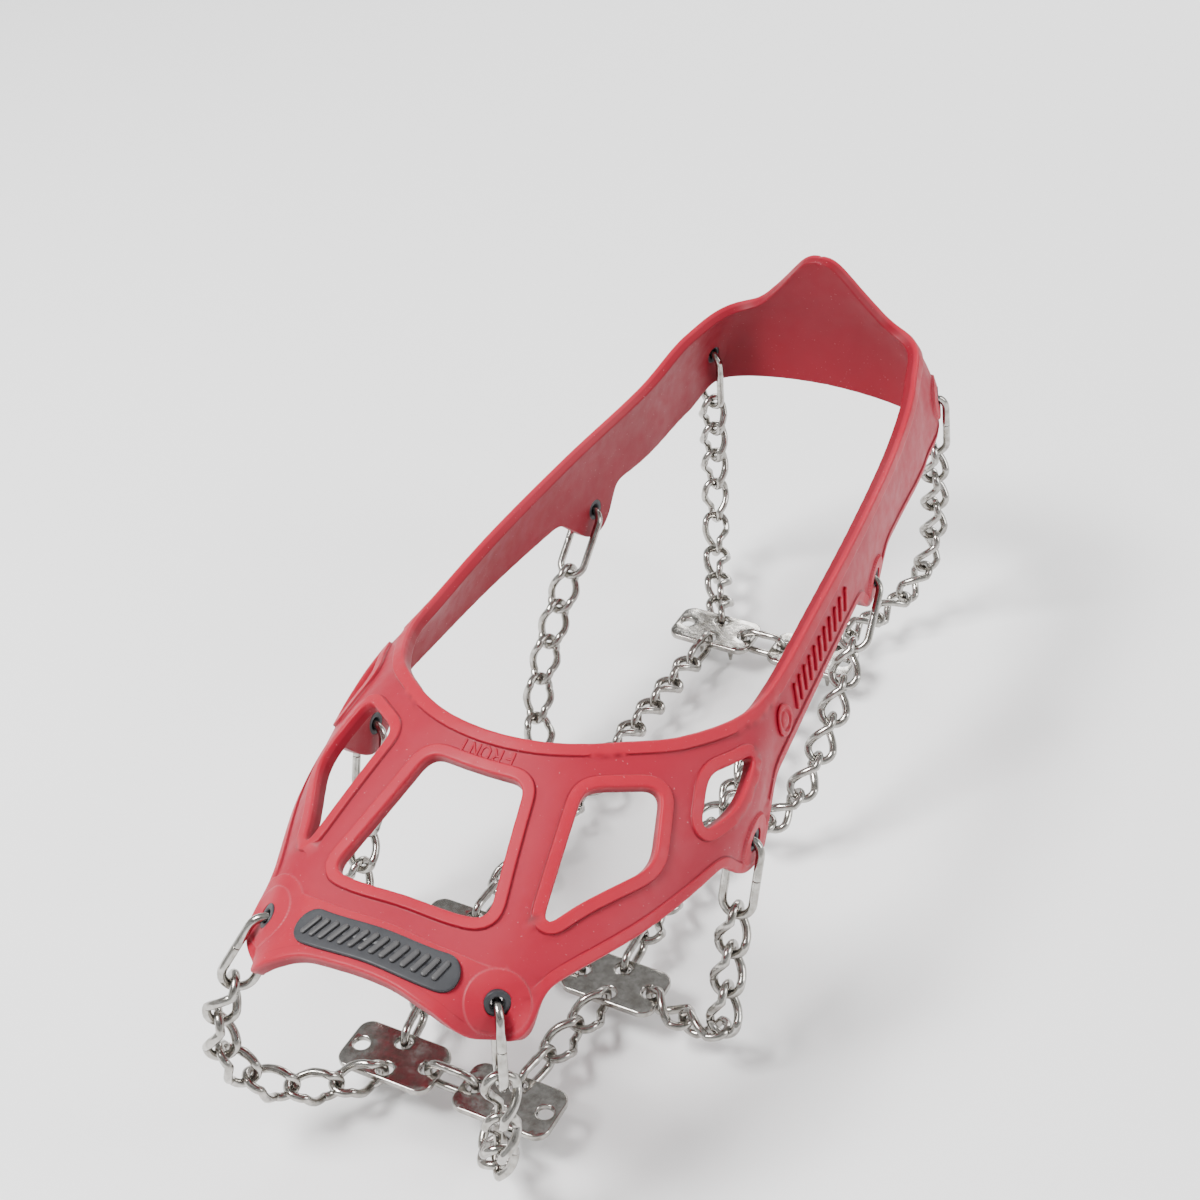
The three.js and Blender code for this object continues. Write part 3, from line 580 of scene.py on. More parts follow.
def harness_mesh():
    moulding = Moulding()
    loops = [moulding.outline(), *moulding.windows, *moulding.bores]
    uv = scattered(moulding, loops)
    tris = triangles_of(loops, uv)
    points = face(uv)
    normal = face_frames(uv)[2]
    # lines: painted highlight (1) and painted shade (-1) along the moulding's steps.
    raised, lines = moulding.relief(uv, points)
    edge = moulding.edge_distance(points)
    edge[:sum(map(len, loops[:-len(moulding.bores)]))] = 0
    on_seam = np.abs(uv[:, 0]) > LAST - 1e-6
    edge[on_seam] = np.minimum(uv[on_seam, 1], uv[on_seam].max(axis=0)[1] - uv[on_seam, 1]) * SEAM_SLOPE
    top = points + normal * (raised - fillet_drop(edge, ROUND))[:, None]
    bottom = points + normal * (fillet_drop(edge, INNER_ROUND) - SKIN)[:, None]
    count = len(uv)
    ring = [(a, b) for a, b in boundary(tris) if not (on_seam[a] and on_seam[b])]
    faces = [*tris.tolist(), *(tris[:, ::-1] + count).tolist()]
    faces += [(b, a, a + count, b + count) for a, b in ring]
    # The inner side's "raised" of INSIDE makes the material paint it, and the walls, in shade.
    marks = {"raised": np.concatenate([raised, np.full(count, INSIDE)]),
             "line": np.concatenate([lines, np.zeros(count)])}
    return np.vstack([top, bottom]), faces, marks


def boundary(tris):
    """Directed edges that only one triangle has."""
    directed = {(a, b) for tri in tris.tolist() for a, b in zip(tri, (*tri[1:], tri[0]))}
    return [(a, b) for a, b in directed if (b, a) not in directed]


# ---- Making meshes ----

def added(name, data):
    """A new object in the scene."""
    thing = bpy.data.objects.new(name, data)
    bpy.context.scene.collection.objects.link(thing)
    return thing


def make_piece(name, points, faces, material, node, marks=None, merge=1e-4, extra=False):
    """A smooth-shaded piece in metres that rides on a node's body and stands for the node, unless
    it is extra to the piece that does. The marks are numbers at its vertices, for its material."""
    mesh = bpy.data.meshes.new(name)
    mesh.from_pydata((np.asarray(points) * MM).tolist(), [], [list(map(int, f)) for f in faces])
    for mark, values in (marks or {}).items():
        mesh.attributes.new(mark, "FLOAT", "POINT").data.foreach_set("value", values)
    bm = bmesh.new()
    bm.from_mesh(mesh)
    bmesh.ops.remove_doubles(bm, verts=bm.verts[:], dist=merge * MM)
    bmesh.ops.recalc_face_normals(bm, faces=bm.faces[:])
    bm.to_mesh(mesh)
    bm.free()
    mesh.shade_smooth()
    keep_flats(mesh)
    mesh.materials.append(material)
    piece = added(name, mesh)
    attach(piece, BODY_OF[node])
    if not extra:
        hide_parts(node)
    return piece


def keep_flats(mesh):
    """Weighs vertex normals by the faces' areas, so that a flat stays flat up to a narrow step."""
    normals = np.zeros((len(mesh.vertices), 3))
    for face_ in mesh.polygons:
        normals[list(face_.vertices)] += np.array(face_.normal) * face_.area
    mesh.normals_split_custom_set_from_vertices(unit(normals))


def together(parts):
    """Several (points, faces, ...) as one, with any further arrays joined too."""
    points, faces, extras, start = [], [], [], 0
    for part_points, part_faces, *extra in parts:
        points.append(part_points)
        faces += [[start + i for i in f] for f in part_faces]
        extras.append(extra)
        start += len(part_points)
    return (np.vstack(points), faces, *(np.concatenate(e) for e in zip(*extras)))


def swept(rows, closed=False):
    """Quads between rows of equally many points, each row a closed ring."""
    count = len(rows[0])
    faces = []
    for r in range(len(rows) - (0 if closed else 1)):
        here, there = r * count, (r + 1) % len(rows) * count
        for i in range(count):
            j = (i + 1) % count
            faces.append((here + i, here + j, there + j, there + i))
    return np.vstack(rows), faces


def capped(points, faces, count):
    """The same with its first and last rings closed by fans about their middles."""
    first, last = points[:count].mean(axis=0), points[-count:].mean(axis=0)
    total = len(points)
    faces = list(faces)
    for i in range(count):
        j = (i + 1) % count
        faces.append((j, i, total))
        faces.append((total - count + i, total - count + j, total + 1))
    return np.vstack([points, first, last]), faces


def lathed(profile, steps=32):
    """A solid of revolution about Z: the profile's (radius, z) from one end to the other."""
    angles = np.linspace(0, 2 * math.pi, steps, endpoint=False)
    x, y = np.cos(angles), np.sin(angles)
    return [np.column_stack([r * x, r * y, np.full(steps, z)]) for r, z in profile]


# ---- Raised pills on the harness ----

def stadium(straight, radius, count=24):
    """A long round-ended outline along X: half its straight, and its radius."""
    angles = np.linspace(-math.pi / 2, math.pi / 2, count // 2)
    end = np.column_stack([straight + radius * np.cos(angles), radius * np.sin(angles)])
    steps = np.linspace(straight, -straight, max(int(straight / 0.8), 1) + 2)[1:-1]
    top = np.column_stack([steps, np.full(len(steps), radius)])
    return np.vstack([end, top, -end, -top])


def pill(place, straight, radius, profile, middle=(0, 0), angle=0.0):
    """A closed round-ended body: the profile lists (inset, height) from its foot to its top."""
    turn = np.array([[math.cos(angle), math.sin(angle)], [-math.sin(angle), math.cos(angle)]])
    rows = []
    for inset, height in profile:
        flat = stadium(straight, max(radius - inset, 1e-4)) @ turn + middle
        rows.append(place(flat, height))
    count = len(rows[0])
    points, faces = swept(rows)
    half = len(stadium(straight, radius)) // 2
    for base, flip in ((0, True), (len(points) - count, False)):
        for i in range(half - 1):
            quad = [base + i, base + i + 1, base + count - 2 - i, base + count - 1 - i]
            faces.append(quad[::-1] if flip else quad)
    return points, faces


def on_face(spot, turn=0.0):
    """Maps flat millimetres about a spot, and a height, to the face. turn rotates the flat."""
    c, s = math.cos(turn), math.sin(turn)

    def place(flat, height):
        uv = beside(spot, flat[:, 0] * c - flat[:, 1] * s, flat[:, 0] * s + flat[:, 1] * c)
        return face(uv) + face_frames(uv)[2] * height
    return place


# ---- Materials ----

class Material:
    """A node material under construction, for one of the record's slots."""

    def __init__(self, name, slot):
        self.material = bpy.data.materials.new(name)
        self.material.use_nodes = True
        self.material["slot"] = slot
        self.tree = self.material.node_tree
        self.shader = self.tree.nodes["Principled BSDF"]
        self.place = self.node("ShaderNodeTexCoord").outputs["Object"]

    def node(self, kind, settings=None, **inputs):
        node = self.tree.nodes.new(kind)
        for key, value in (settings or {}).items():
            setattr(node, key, value)
        for key, value in inputs.items():
            self.set(node.inputs[key.replace("_", " ")], value)
        return node

    def set(self, socket, value):
        if isinstance(value, bpy.types.NodeSocket):
            self.tree.links.new(value, socket)
        else:
            socket.default_value = value

    def mark(self, name):
        return self.node("ShaderNodeAttribute", {"attribute_name": name}).outputs["Fac"]

    def noise(self, scale, detail=2.0, rough=0.5):
        inputs = {"Vector": self.place, "Scale": scale, "Detail": detail, "Roughness": rough}
        return self.node("ShaderNodeTexNoise", **inputs).outputs["Fac"]

    def span(self, value, low, high, to_low=0.0, to_high=1.0):
        node = self.node("ShaderNodeMapRange", {"clamp": True}, Value=value)
        for i, number in enumerate((low, high, to_low, to_high), 1):
            node.inputs[i].default_value = number
        return node.outputs["Result"]

    def mix(self, factor, a, b):
        node = self.node("ShaderNodeMix", {"data_type": "RGBA"})
        for i, value in ((0, factor), (6, a), (7, b)):
            self.set(node.inputs[i], value)
        return node.outputs[2]

    def bump(self, height, strength, distance, normal=None):
        node = self.node("ShaderNodeBump", Strength=strength, Distance=distance, Height=height)
        if normal is not None:
            self.set(node.inputs["Normal"], normal)
        return node.outputs["Normal"]

    def finish(self, **inputs):
        for key, value in inputs.items():
            self.set(self.shader.inputs[key.replace("_", " ")], value)
        return self.material


def elastomer():
    """Slightly translucent red elastomer: satin, cloudy, with a few dusty specks, painted shade on its
    walls and inner side, and painted highlights and shade along its steps.
    """
    m = Material("red_elastomer", "elastomer")
    raised = m.mark("raised")
    web, rim, dust_and_highlight = (0.31, 0.009, 0.026, 1), (0.38, 0.008, 0.026, 1), (0.50, 0.18, 0.20, 1)
    shaded_red = (0.19, 0.003, 0.012, 1)
    # Painted shade: the walls, and the side that faces the boot, darken to a deep shaded red.
    colour = m.mix(m.span(raised, -0.5, -0.05), shaded_red, web)
    colour = m.mix(m.span(raised, 0.05, 0.6), colour, rim)
    # Painted shade at the foot of each rim's step.
    colour = m.mix(m.span(m.mark("line"), -1, 0, 0.85, 0), colour, (0.10, 0.001, 0.006, 1))
    # Painted highlight along the steps of the band and the bosses, in the pale colour of the specks.
    colour = m.mix(m.span(m.mark("line"), 0, 1, 0, 0.22), colour, dust_and_highlight)
    colour = m.mix(m.span(m.noise(45, 3), 0.35, 0.75, 0, 0.35), colour, (0.25, 0.006, 0.021, 1))
    colour = m.mix(m.span(m.noise(1400, 1), 0.735, 0.78, 0, 0.45), colour, dust_and_highlight)
    waves = m.bump(m.noise(160, 2), 0.05, 0.0006)
    grain = m.bump(m.noise(3500, 2), 0.18, 0.00006, waves)
    return m.finish(Base_Color=colour, Roughness=m.span(m.noise(220, 3), 0.3, 0.7, 0.42, 0.55),
                    Subsurface_Weight=0.15, Subsurface_Radius=(1.0, 0.16, 0.12),
                    Subsurface_Scale=0.001, IOR=1.46, Specular_IOR_Level=0.28, Normal=grain)


def grey_plastic():
    """Moulded grey plastic with a fine matt grain, paler on its raised ribs."""
    m = Material("grey_plastic", "grey_plastic")
    raised = m.mark("raised")
    colour = m.mix(m.span(raised, 0.1, 0.9), (0.019, 0.020, 0.024, 1), (0.054, 0.052, 0.053, 1))
    colour = m.mix(m.span(m.noise(300, 3), 0.4, 0.7, 0, 0.4), colour, (0.030, 0.031, 0.035, 1))
    grain = m.bump(m.noise(5000, 2), 0.25, 0.00005)
    return m.finish(Base_Color=colour, Roughness=m.span(m.noise(500, 2), 0.3, 0.7, 0.44, 0.58),
                    IOR=1.48, Normal=grain)


def steel():
    """Tumbled stainless steel: bright, with soft dents, fine scratches, and a darker patchy tone that is
    partly duller metal and partly painted dark reflection.
    """
    m = Material("stainless_steel", "steel")
    dull_and_reflection = m.noise(420, 4, 0.6)
    # Darker patchy tone: partly duller metal, partly painted dark reflection.
    colour = m.mix(m.span(dull_and_reflection, 0.35, 0.7), (0.46, 0.445, 0.42, 1), (0.24, 0.225, 0.20, 1))
    dents = m.bump(m.noise(700, 2), 0.22, 0.00012)
    scratches = m.bump(m.noise(6000, 2, 0.7), 0.16, 0.00003, dents)
    return m.finish(Base_Color=colour, Metallic=1.0, Roughness=m.span(dull_and_reflection, 0.3, 0.75, 0.10, 0.26),
                    Normal=scratches)


ELASTOMER, GREY, STEEL = elastomer(), grey_plastic(), steel()

# ---- Chain ----

def link_mesh(kind, around=12):
    """A link along X, its ends lying `twist` apart, with the mark of its closing weld. A link
    without a weld has the seam of its bent wire instead."""
    radius, half = (kind["width"] - WIRE) / 2, (kind["length"] - kind["width"]) / 2
    arc = np.linspace(-math.pi / 2, math.pi / 2, 15)
    end = np.column_stack([half + radius * np.cos(arc), radius * np.sin(arc)])
    seam = kind is CONNECTOR
    marks = np.array(SEAM_MARKS if seam else WELD_MARKS)
    centre = [] if seam else [0]
    fill = np.linspace(half, marks[0], 5)[1:-1]
    side = np.concatenate([fill, marks, centre, -marks[::-1], -fill[::-1]])
    path = np.vstack([end, np.column_stack([side, np.full(len(side), radius)]),
                      -end, np.column_stack([-side, np.full(len(side), -radius)])])
    roll = kind["twist"] / 2 * np.clip(path[:, 0] / half, -1, 1)
    line = np.column_stack([path[:, 0], path[:, 1] * np.cos(roll), path[:, 1] * np.sin(roll)])
    wire = np.full(len(line), WIRE / 2)
    marked = path[:, 1] > radius - 1e-6
    if seam:
        wire[marked & (np.abs(path[:, 0]) < 0.08)] *= 1 - SEAM_DEPTH
        wire[marked & (np.abs(np.abs(path[:, 0]) - 0.09) < 0.01)] *= 0.97
    else:
        wire[marked] *= 1 + WELD_RISE * np.exp(-((path[marked, 0] / 0.8) ** 2))
    return tube(line, wire, around)


def tube(line, wire, around):
    """A closed tube along a closed line, its sections turned as little as may be."""
    ahead = unit(np.roll(line, -1, axis=0) - np.roll(line, 1, axis=0))
    side = unit(np.cross(ahead[0], [0.1, 0.2, 1.0]))
    sides = []
    for direction in ahead:
        side = unit(side - direction * (side @ direction))
        sides.append(side)
    sides = np.array(sides)
    last = unit(sides[-1] - ahead[0] * (sides[-1] @ ahead[0]))
    gap = math.atan2(np.cross(sides[0], last) @ ahead[0], sides[0] @ last)
    rows = []
    for i, (point, direction, first) in enumerate(zip(line, ahead, sides)):
        second = np.cross(direction, first)
        angles = np.linspace(0, 2 * math.pi, around, endpoint=False) - gap * i / len(line)
        ring = np.outer(np.cos(angles), first) + np.outer(np.sin(angles), second)
        rows.append(point + ring * wire[i])
    return swept(rows, closed=True)


LINK_MESHES = {id(kind): link_mesh(kind) for kind in (TWISTED, PLAIN, CONNECTOR)}


def wire_length(kind):
    return kind["length"] - WIRE


def chords(kinds, offsets):
    return [wire_length(kind) - offsets[i] - offsets[i + 1] for i, kind in enumerate(kinds)]


def turned(vector, axis, angle):
    return Quaternion(axis, angle) @ vector


def place_links(kinds, offsets, pivots, plane, roll=0.0):
    """(kind, matrix) of each link along the pivots."""
    flat, last, placed = plane.copy(), None, []
    for i, kind in enumerate(kinds):
        along = (pivots[i + 1] - pivots[i]).normalized()
        if last is not None:
            flat = last.rotation_difference(along) @ flat
        flat = (flat - along * flat.dot(along)).normalized()
        y = turned(flat, along, kind["twist"] / 2)
        centre = pivots[i] + along * (wire_length(kind) / 2 - offsets[i])
        matrix = Matrix((along, y, along.cross(y))).transposed().to_4x4()
        matrix.translation = centre
        placed.append((kind, matrix))
        flat = turned(flat, along, kind["twist"] + math.pi / 2 + roll)
        last = along
    return placed


def roll_to_upright(link):
    """The roll that would stand the last link's end upright, to pass through a plate."""
    kind, matrix = link
    along, end = matrix.col[0].xyz, matrix.col[1].xyz
    end = turned(end, along, kind["twist"] / 2)
    up = (Vector((0, 0, 1)) - along * along.z).normalized()
    return math.atan(end.cross(up).dot(along) / end.dot(up))


def chain_mesh(chain):
    parts = []
    for kind, matrix in chain:
        points, faces = LINK_MESHES[id(kind)]
        m = np.array(matrix)
        parts.append((points @ m[:3, :3].T + m[:3, 3], faces))
    return together(parts)


def step_along(curve, u, start, reach):
    low, high = u, 1.6
    for _ in range(40):
        middle = (low + high) / 2
        if (curve(middle) - start).length < reach:
            low = middle
        else:
            high = middle
    return low


def bezier(points):
    a, b, c, d = points

    def at(u):
        w = 1 - u
        return a * w**3 + b * (3 * w * w * u) + c * (3 * w * u * u) + d * u**3
    return at


def strand_pivots(eyelet, leave, corner, hole, reaches):
    """Pivots of a taut strand from an eyelet round a corner to a hole. The connecting link lies
    in line with its lug."""
    low, high, pivots = 0.2, 2.0, []
    start = eyelet + leave * reaches[0]
    level = Vector((corner.x, corner.y, hole.z))
    for _ in range(40):
        pull = (low + high) / 2
        first = start + leave * (pull * (start - corner).length)
        curve = bezier((start, first, hole.lerp(level, pull), hole))
        pivots, u = [eyelet, start], 0.0
        for reach in reaches[1:-1]:
            u = step_along(curve, u, pivots[-1], reach)
            pivots.append(curve(u))
        if (pivots[-1] - hole).length < reaches[-1] or u > 1:
            low = pull
        else:
            high = pull
    return [*pivots, hole]


def middle_of(spot):
    return Vector(face([spot])[0] - face_frames([spot])[2][0] * SKIN / 2)


def eyelet_frame(spot, corner):
    """An eyelet's middle, the direction its chain leaves in, and its bore's axis."""
    along, up, normal = (Vector(vectors[0]) for vectors in face_frames([spot]))
    along.normalize()
    up = (up - along * up.dot(along)).normalized()
    eyelet = middle_of(spot)
    pull = corner - eyelet
    tip = Vector((pull.dot(along), pull.dot(up))).normalized() * lug_of(spot)["tip"]
    leave = (middle_of(beside(spot, [tip.x], [tip.y])[0]) - eyelet).normalized()
    axis = (normal - leave * normal.dot(leave)).normalized()
    return Vector(face([spot])[0]) - axis * (SKIN / 2), leave, axis


def add_strand(name, side, links, spot, corner, hole):
    middle, leave, axis = eyelet_frame(spot, corner)
    kinds = [CONNECTOR, *[TWISTED] * links]
    loose = LOOSE_LINKS + 1
    offsets = [HELD, *[FREE] * loose, *[JOINED] * (links - loose), HELD]
    pivots = strand_pivots(middle, leave, corner, hole, chords(kinds, offsets))
    straight = place_links(kinds, offsets, pivots, axis)
    roll = roll_to_upright(straight[-1]) / links
    chain = place_links(kinds, offsets, pivots, axis, roll)
    add_chain(f"connecting_link_{name}_{side}", chain[:1])
    for i, link in enumerate(chain[1:loose], 1):
        add_chain(f"chain_link_{name}_{side}_{i}", [link])
    add_chain(f"lower_chain_{name}_{side}", chain[loose:])
    add_grommet(name, side, middle, axis)


def add_chain(node, chain):
    points, faces = chain_mesh(chain)
    make_piece(f"{node}_wire", points, faces, STEEL, node)


def run_kinds(count):
    return [PLAIN, *[TWISTED] * (count - 1)]


def run_offsets(count):
    return [HELD, *[JOINED] * (count - 1), HELD]


def run_length(count):
    return sum(chords(run_kinds(count), run_offsets(count)))


def add_run(node, start, end, count):
    kinds, offsets = run_kinds(count), run_offsets(count)
    along = (end - start).normalized()
    pivots = [start]
    for reach in chords(kinds, offsets):
        pivots.append(pivots[-1] + along * reach)
    add_chain(node, place_links(kinds, offsets, pivots, Vector((0, 0, 1))))


# ---- Eyelets, plates and rings ----

def add_grommet(name, side, middle, axis):
    """A moulded ring with rounded lips, set below the face of its boss, clear of its link."""
    node = f"eyelet_{name}_{side}"
    outer, inner = GROMMET_OUTER, GROMMET_INNER
    face_z = SKIN / 2 + LOWER_RAISE + min(BOSS[name][1], 0) - 0.1
    lip = GROMMET_LIP
    angles = np.linspace(0, math.pi / 2, 6)
    throat = [(inner + lip - lip * math.sin(a), -lip * (1 - math.cos(a))) for a in angles]
    upper = [(outer, face_z - 0.25), (outer - 0.08, face_z - 0.07), (outer - 0.3, face_z)]
    upper += [(r, face_z + z) for r, z in throat]
    back = -SKIN / 2
    profile = [(outer, back + 0.1), *upper, *[(r, back - z) for r, z in throat[::-1]],
               (outer - 0.2, back)]
    points, faces = swept(lathed(profile, 40), closed=True)
    turn = np.array(Vector((0, 0, 1)).rotation_difference(axis).to_matrix())
    make_piece(f"{node}_ring", points @ turn.T + np.array(middle), faces, GREY, node)


def plate_outline(grow):
    """The plate's outline and holes as loops, each moved into the metal by grow."""
    x, y = PLATE["length"] / 2 - grow, PLATE["width"] / 2 - grow
    corner = PLATE["corner"] - grow
    loop = []
    for cx, cy, start in ((x, -y, -90), (x, y, 0), (-x, y, 90), (-x, -y, 180)):
        middle = (cx - math.copysign(corner, cx), cy - math.copysign(corner, cy))
        for angle in np.radians(np.linspace(start, start + 90, 9)):
            loop.append((middle[0] + corner * math.cos(angle), middle[1] + corner * math.sin(angle)))
    holes = []
    for cx, cy in plate_holes():
        angles = np.linspace(2 * math.pi, 0, 28, endpoint=False)
        size = PLATE["hole"] + grow
        holes.append(np.column_stack([cx + size * np.cos(angles), cy + size * np.sin(angles)]))
    return [np.array(loop), *holes]


def plate_holes():
    x, y = PLATE["hole_x"], PLATE["hole_y"]
    return [(x, 0), (-x, 0), (0, y), (0, -y)]


def plate_sheet():
    """The stamped plate, its edges rounded in three rows."""
    half, bevel = PLATE["thick"] / 2, PLATE_BEVEL
    heights = [(bevel, half), (bevel * 0.3, half - bevel * 0.3), (0, half - bevel)]
    rows = heights + [(grow, -z) for grow, z in heights[::-1]]
    points, faces, start = [], [], 0
    level = [plate_outline(grow) for grow, _ in rows]
    for k in range(len(level[0])):
        rings = [(loops[k], np.full(len(loops[k]), z)) for loops, (_, z) in zip(level, rows)]
        part, quads = swept([np.column_stack(ring) for ring in rings])
        points.append(part)
        faces += [[start + i for i in quad] for quad in quads]
        start += len(part)
    flat = plate_fill(level[0])
    for z, flip in ((half, False), (-half, True)):
        part = np.column_stack([flat[0], np.full(len(flat[0]), z)])
        points.append(part)
        faces += [[start + i for i in (tri[::-1] if flip else tri)] for tri in flat[1]]
        start += len(part)
    return np.vstack(points), faces


def plate_fill(loops):
    """The flat of the plate between its edges."""
    x, y = PLATE["length"] / 2 - 1, PLATE["width"] / 2 - 1
    grid = np.array([(a, b) for a in np.arange(-x, x, 1.5) for b in np.arange(-y, y, 1.5)])
    outline = np.vstack(loops)
    near = np.linalg.norm(grid[:, None] - outline[None], axis=2).min(axis=1)
    grid = grid[(near > 0.8) & inside(loops, grid)]
    spots = np.vstack([outline, grid])
    made = delaunay_2d_cdt([Vector(p) for p in spots], loop_edges(loops), [], 0, 1e-6)
    tris = np.array(made[2])
    return spots, tris[inside(loops, spots[tris].mean(axis=1))].tolist()


def spike_mesh(x):
    """A forged spike: a cone with a slightly waisted flank, a blunt tip and a weld at its foot."""
    base, tip, height = SPIKE["base"], SPIKE["tip"], SPIKE["height"]
    foot = -PLATE["thick"] / 2
    flank = [(base * (1 - s) ** 1.25 * 0.92 + tip * s, foot - height * s)
             for s in np.linspace(0.08, 0.97, 14)]
    profile = [(base, foot + 0.6), (base, foot - 0.12), (base * 0.96, foot - 0.45), *flank,
               (tip * 0.5, foot - height + 0.06)]
    rows = lathed(profile, 28)
    points, faces = capped(*swept(rows), 28)
    return points + [x, 0, 0], faces


PLATE_MESH = together([plate_sheet(), spike_mesh(-SPIKE["x"]), spike_mesh(SPIKE["x"])])


def add_plate(node, centre):
    points, faces = PLATE_MESH
    piece = make_piece(f"{node}_steel", points + np.array(centre), faces, STEEL, node)
    piece.data.set_sharp_from_angle(angle=math.radians(40))


def add_ring(node, centre):
    angles = np.linspace(0, 2 * math.pi, 64, endpoint=False)
    line = np.column_stack([np.cos(angles), np.sin(angles), np.zeros(64)]) * RING_RADIUS
    points, faces = tube(line, np.full(64, WIRE / 2), 14)
    make_piece(f"{node}_wire", points + np.array(centre), faces, STEEL, node)


# ---- Badge, mark and ribs ----

def add_badge():
    """A round-ended grey plate with slanted grip ribs."""
    place = on_face(BADGE_SPOT)
    radius, straight = BADGE_HEIGHT / 2, (BADGE_LENGTH - BADGE_HEIGHT) / 2
    foot = LOWER_RAISE - 0.3
    top = LOWER_RAISE + 1.0
    body = [(0.0, foot), (0, top - 0.42), (0.1, top - 0.2), (0.28, top - 0.05), (0.5, top),
            (1.5, top), (2.6, top), (3.8, top), (4.98, top)]
    parts = [with_raise(pill(place, straight, radius, body), 0)]
    rib = [(0, top - 0.3), (0, top + 0.45), (0.1, top + 0.62), (0.28, top + 0.7), (0.74, top + 0.72)]
    for x in np.linspace(-straight, straight, 14):
        parts.append(with_raise(pill(place, 2.3, 0.75, rib, (x, 0), math.radians(68)), 1))
    points, faces, raised = together(parts)
    make_piece("front_badge_plate", points, faces, GREY, "front_badge", {"raised": raised})


def with_raise(part, value):
    points, faces = part
    return points, faces, np.full(len(points), float(value))


def add_front_mark():
    """The word FRONT in low raised strokes, read from the wearer's side."""
    place = on_face((0.0, 0.915), math.pi)
    stroke = [(0, -0.3), (0, 0.16), (0.1, 0.26), (0.29, 0.28)]
    parts = []
    for i, letter in enumerate("FRONT"):
        start = np.array(WORD_START) + (LETTER_PITCH * i, 0)
        for line in LETTERS[letter]:
            corners = np.array(line) * LETTER_SCALE + start
            for a, b in zip(corners, corners[1:]):
                angle = math.atan2(*(b - a)[::-1])
                parts.append(pill(place, np.linalg.norm(b - a) / 2, 0.3, stroke, (a + b) / 2, angle))
    points, faces = together(parts)
    marks = {"raised": np.full(len(points), 0.3)}
    make_piece("front_mark", points, faces, ELASTOMER, "harness", marks, extra=True)


def stud(place, profile, count=40):
    """A closed round body: the profile lists (radius, height) from its foot to its middle."""
    angles = np.linspace(0, 2 * math.pi, count, endpoint=False)
    ring = np.column_stack([np.cos(angles), np.sin(angles)])
    return capped(*swept([place(ring * radius, height) for radius, height in profile]), count)


def add_strap_ribs(side):
    """A round stud and a row of slanted grip ribs on the outer side of the instep strap."""
    dome = [(4.4, -0.3), (4.4, 0.5), (4.3, 0.7), (4.05, 0.82), (3.3, 0.82), (3.05, 0.7), (2.95, 0.35),
            (2.3, 0.3), (2.15, 0.5), (1.9, 0.68), (1.3, 0.78), (0.6, 0.82)]
    rib = [(0, -0.3), (0, 0.5), (0.12, 0.7), (0.35, 0.8), (0.84, 0.82)]
    parts = [stud(on_face((side * STUD_SPOT[0], STUD_SPOT[1])), dome)]
    for t in STRAP_RIBS:
        place = on_face((side * t, STUD_SPOT[1]))
        parts.append(pill(place, 2.9, 0.85, rib, (0, 0), side * math.radians(72)))
    points, faces = together(parts)
    name = "strap_ribs_right" if side > 0 else "strap_ribs_left"
    marks = {"raised": np.full(len(points), 0.5)}
    make_piece(name, points, faces, ELASTOMER, "harness", marks, extra=True)


# ---- The net under the sole ----

def run_end(y, shift, count, sign):
    return y + sign * math.sqrt(run_length(count) ** 2 - shift**2)


def net_layout(side):
    """Centres of the plates and the ring of one side."""
    hole_x, hole_y = PLATE["hole_x"], PLATE["hole_y"]
    plate_x = {name: run_length(count) / 2 + hole_x for name, count in CROSS.items()}
    hook = RING_RADIUS - WIRE - LINK_PLAY
    toe_y = run_end(BALL_Y - hole_y, plate_x["ball"] - plate_x["toe"], LENGTHWISE["front"], -1) - hole_y
    ring_y = run_end(BALL_Y + hole_y, plate_x["ball"] - RING_X, LENGTHWISE["middle"], 1) + hook
    heel_y = run_end(ring_y + hook, RING_X - plate_x["heel"], LENGTHWISE["rear"], 1) + hole_y
    places = {"toe": (plate_x["toe"], toe_y), "ball": (plate_x["ball"], BALL_Y),
              "heel": (plate_x["heel"], heel_y), "ring": (RING_X, ring_y)}
    return {name: Vector((side * x, y, NET_Z)) for name, (x, y) in places.items()}, hook


def add_net(side_name, side):
    net, hook = net_layout(side)
    x, y = Vector((PLATE["hole_x"], 0, 0)), Vector((0, PLATE["hole_y"], 0))
    ring_x, ring_y = Vector((hook, 0, 0)), Vector((0, hook, 0))
    holes = {"toe": net["toe"] - y, "ball": net["ball"] + x * side,
             "arch": net["ring"] + ring_x * side, "rear": net["heel"] + y}
    for name, sides in STRANDS.items():
        links, spot, corner = sides[side_name]
        add_strand(name, side_name, links, spot, Vector(corner), holes[name])
    for name in ("toe", "ball", "heel"):
        add_plate(f"spike_plate_{name}_{side_name}", net[name])
    add_ring(f"ring_{side_name}", net["ring"])
    add_run(f"side_chain_front_{side_name}", net["toe"] + y, net["ball"] - y, LENGTHWISE["front"])
    add_run(f"side_chain_middle_{side_name}", net["ball"] + y, net["ring"] - ring_y, LENGTHWISE["middle"])
    add_run(f"side_chain_rear_{side_name}", net["heel"] - y, net["ring"] + ring_y, LENGTHWISE["rear"])


# ---- The stage ----

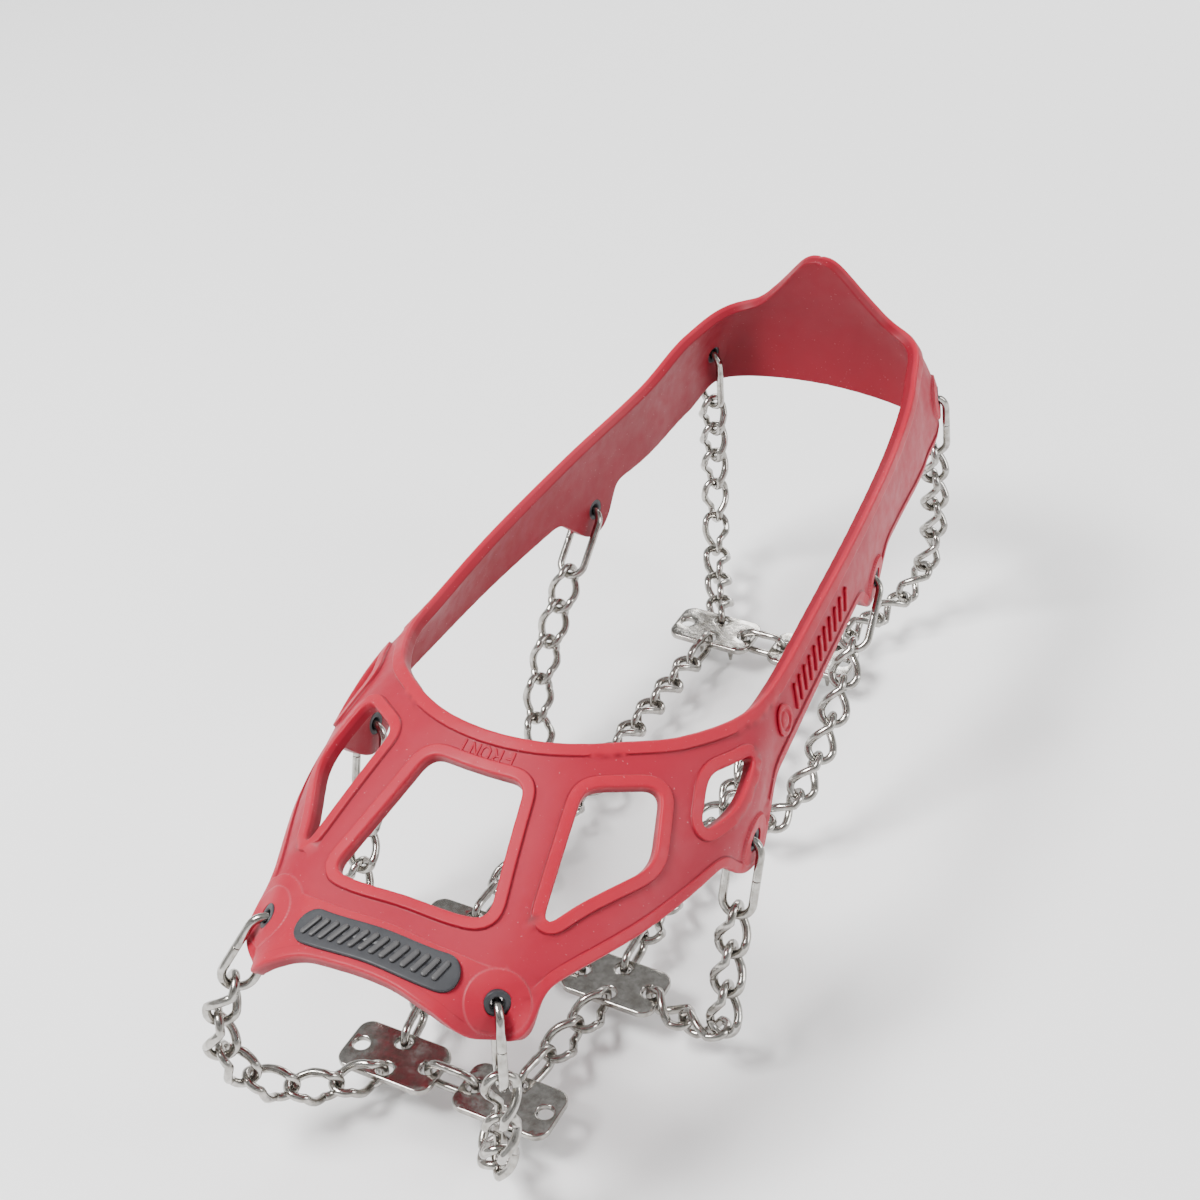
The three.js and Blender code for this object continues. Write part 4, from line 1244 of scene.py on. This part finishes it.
def add_camera():
    azimuth, elevation, roll = (math.radians(CAMERA[key]) for key in ("azimuth", "elevation", "roll"))
    level = math.cos(elevation)
    back = Vector((math.sin(azimuth) * level, -math.cos(azimuth) * level, math.sin(elevation)))
    right = Vector((math.cos(azimuth), math.sin(azimuth), 0))
    up = back.cross(right)
    camera = added("camera", bpy.data.cameras.new("camera"))
    x = right * math.cos(roll) - up * math.sin(roll)
    y = right * math.sin(roll) + up * math.cos(roll)
    turn = Matrix((x, y, back)).transposed().to_4x4()
    camera.matrix_world = Matrix.Translation(CAMERA["place"]) @ turn
    camera.data.sensor_width = 36
    camera.data.lens = CAMERA["lens"]
    camera.data.clip_start = 0.01
    bpy.context.scene.camera = camera


def add_floor():
    """A pale floor that curves up into a low wall all round."""
    mesh = bpy.data.meshes.new("floor")
    flat, radius, steps = FLOOR["flat"], FLOOR["bend"], 64
    bend = [(flat + radius * math.sin(a), radius - radius * math.cos(a))
            for a in np.linspace(0, math.pi / 2, 10)]
    points, faces = swept(lathed([(0.1, 0), *bend, (flat + radius, FLOOR["wall"])], steps))
    points[:, 2] += CAD_BOX[0][2] - FLOOR["gap"]
    mesh.from_pydata(points.tolist(), [], [list(range(steps)), *(quad[::-1] for quad in faces)])
    mesh.shade_smooth()
    material = bpy.data.materials.new("floor")
    material.use_nodes = True
    shader = material.node_tree.nodes["Principled BSDF"]
    shader.inputs["Base Color"].default_value = (0.95, 0.95, 0.95, 1)
    shader.inputs["Roughness"].default_value = 0.8
    mesh.materials.append(material)
    added("floor", mesh)


def add_light(name, place, size, power):
    light = bpy.data.lights.new(name, "AREA")
    light.shape = "RECTANGLE"
    light.size, light.size_y = size
    light.energy = power
    lamp = added(name, light)
    lamp.location = place
    lamp.rotation_euler = (-Vector(place)).to_track_quat("-Z", "Y").to_euler()


def add_lighting():
    """A soft key, a fill and a back light, in a room that darkens towards the horizon."""
    for name, lamp in LAMPS.items():
        add_light(name, *lamp)
    world = bpy.data.worlds.new("studio")
    world.use_nodes = True
    nodes, links = world.node_tree.nodes, world.node_tree.links
    ramp = nodes.new("ShaderNodeValToRGB")
    ramp.color_ramp.elements[0].position = 0.2
    ramp.color_ramp.elements[0].color = (0.02, 0.02, 0.02, 1)
    ramp.color_ramp.elements[1].position = 0.9
    ramp.color_ramp.elements[1].color = (1.0, 1.0, 1.0, 1)
    height = nodes.new("ShaderNodeSeparateXYZ")
    links.new(nodes.new("ShaderNodeTexCoord").outputs["Generated"], height.inputs[0])
    links.new(height.outputs["Z"], ramp.inputs["Fac"])
    links.new(ramp.outputs["Color"], nodes["Background"].inputs["Color"])
    nodes["Background"].inputs["Strength"].default_value = 0.6
    bpy.context.scene.world = world


add_camera()
add_floor()
add_lighting()
points, faces, marks = harness_mesh()
make_piece("harness_skin", points, faces, ELASTOMER, "harness", marks, merge=1e-2)
add_badge()
add_front_mark()
for name, side in SIDES.items():
    add_strap_ribs(side)
    add_net(name, side)
nets = [net_layout(side)[0] for side in (-1, 1)]
for name, count in CROSS.items():
    edge = Vector((PLATE["hole_x"], 0, 0))
    add_run(f"cross_chain_{name}", nets[0][name] + edge, nets[1][name] - edge, count)
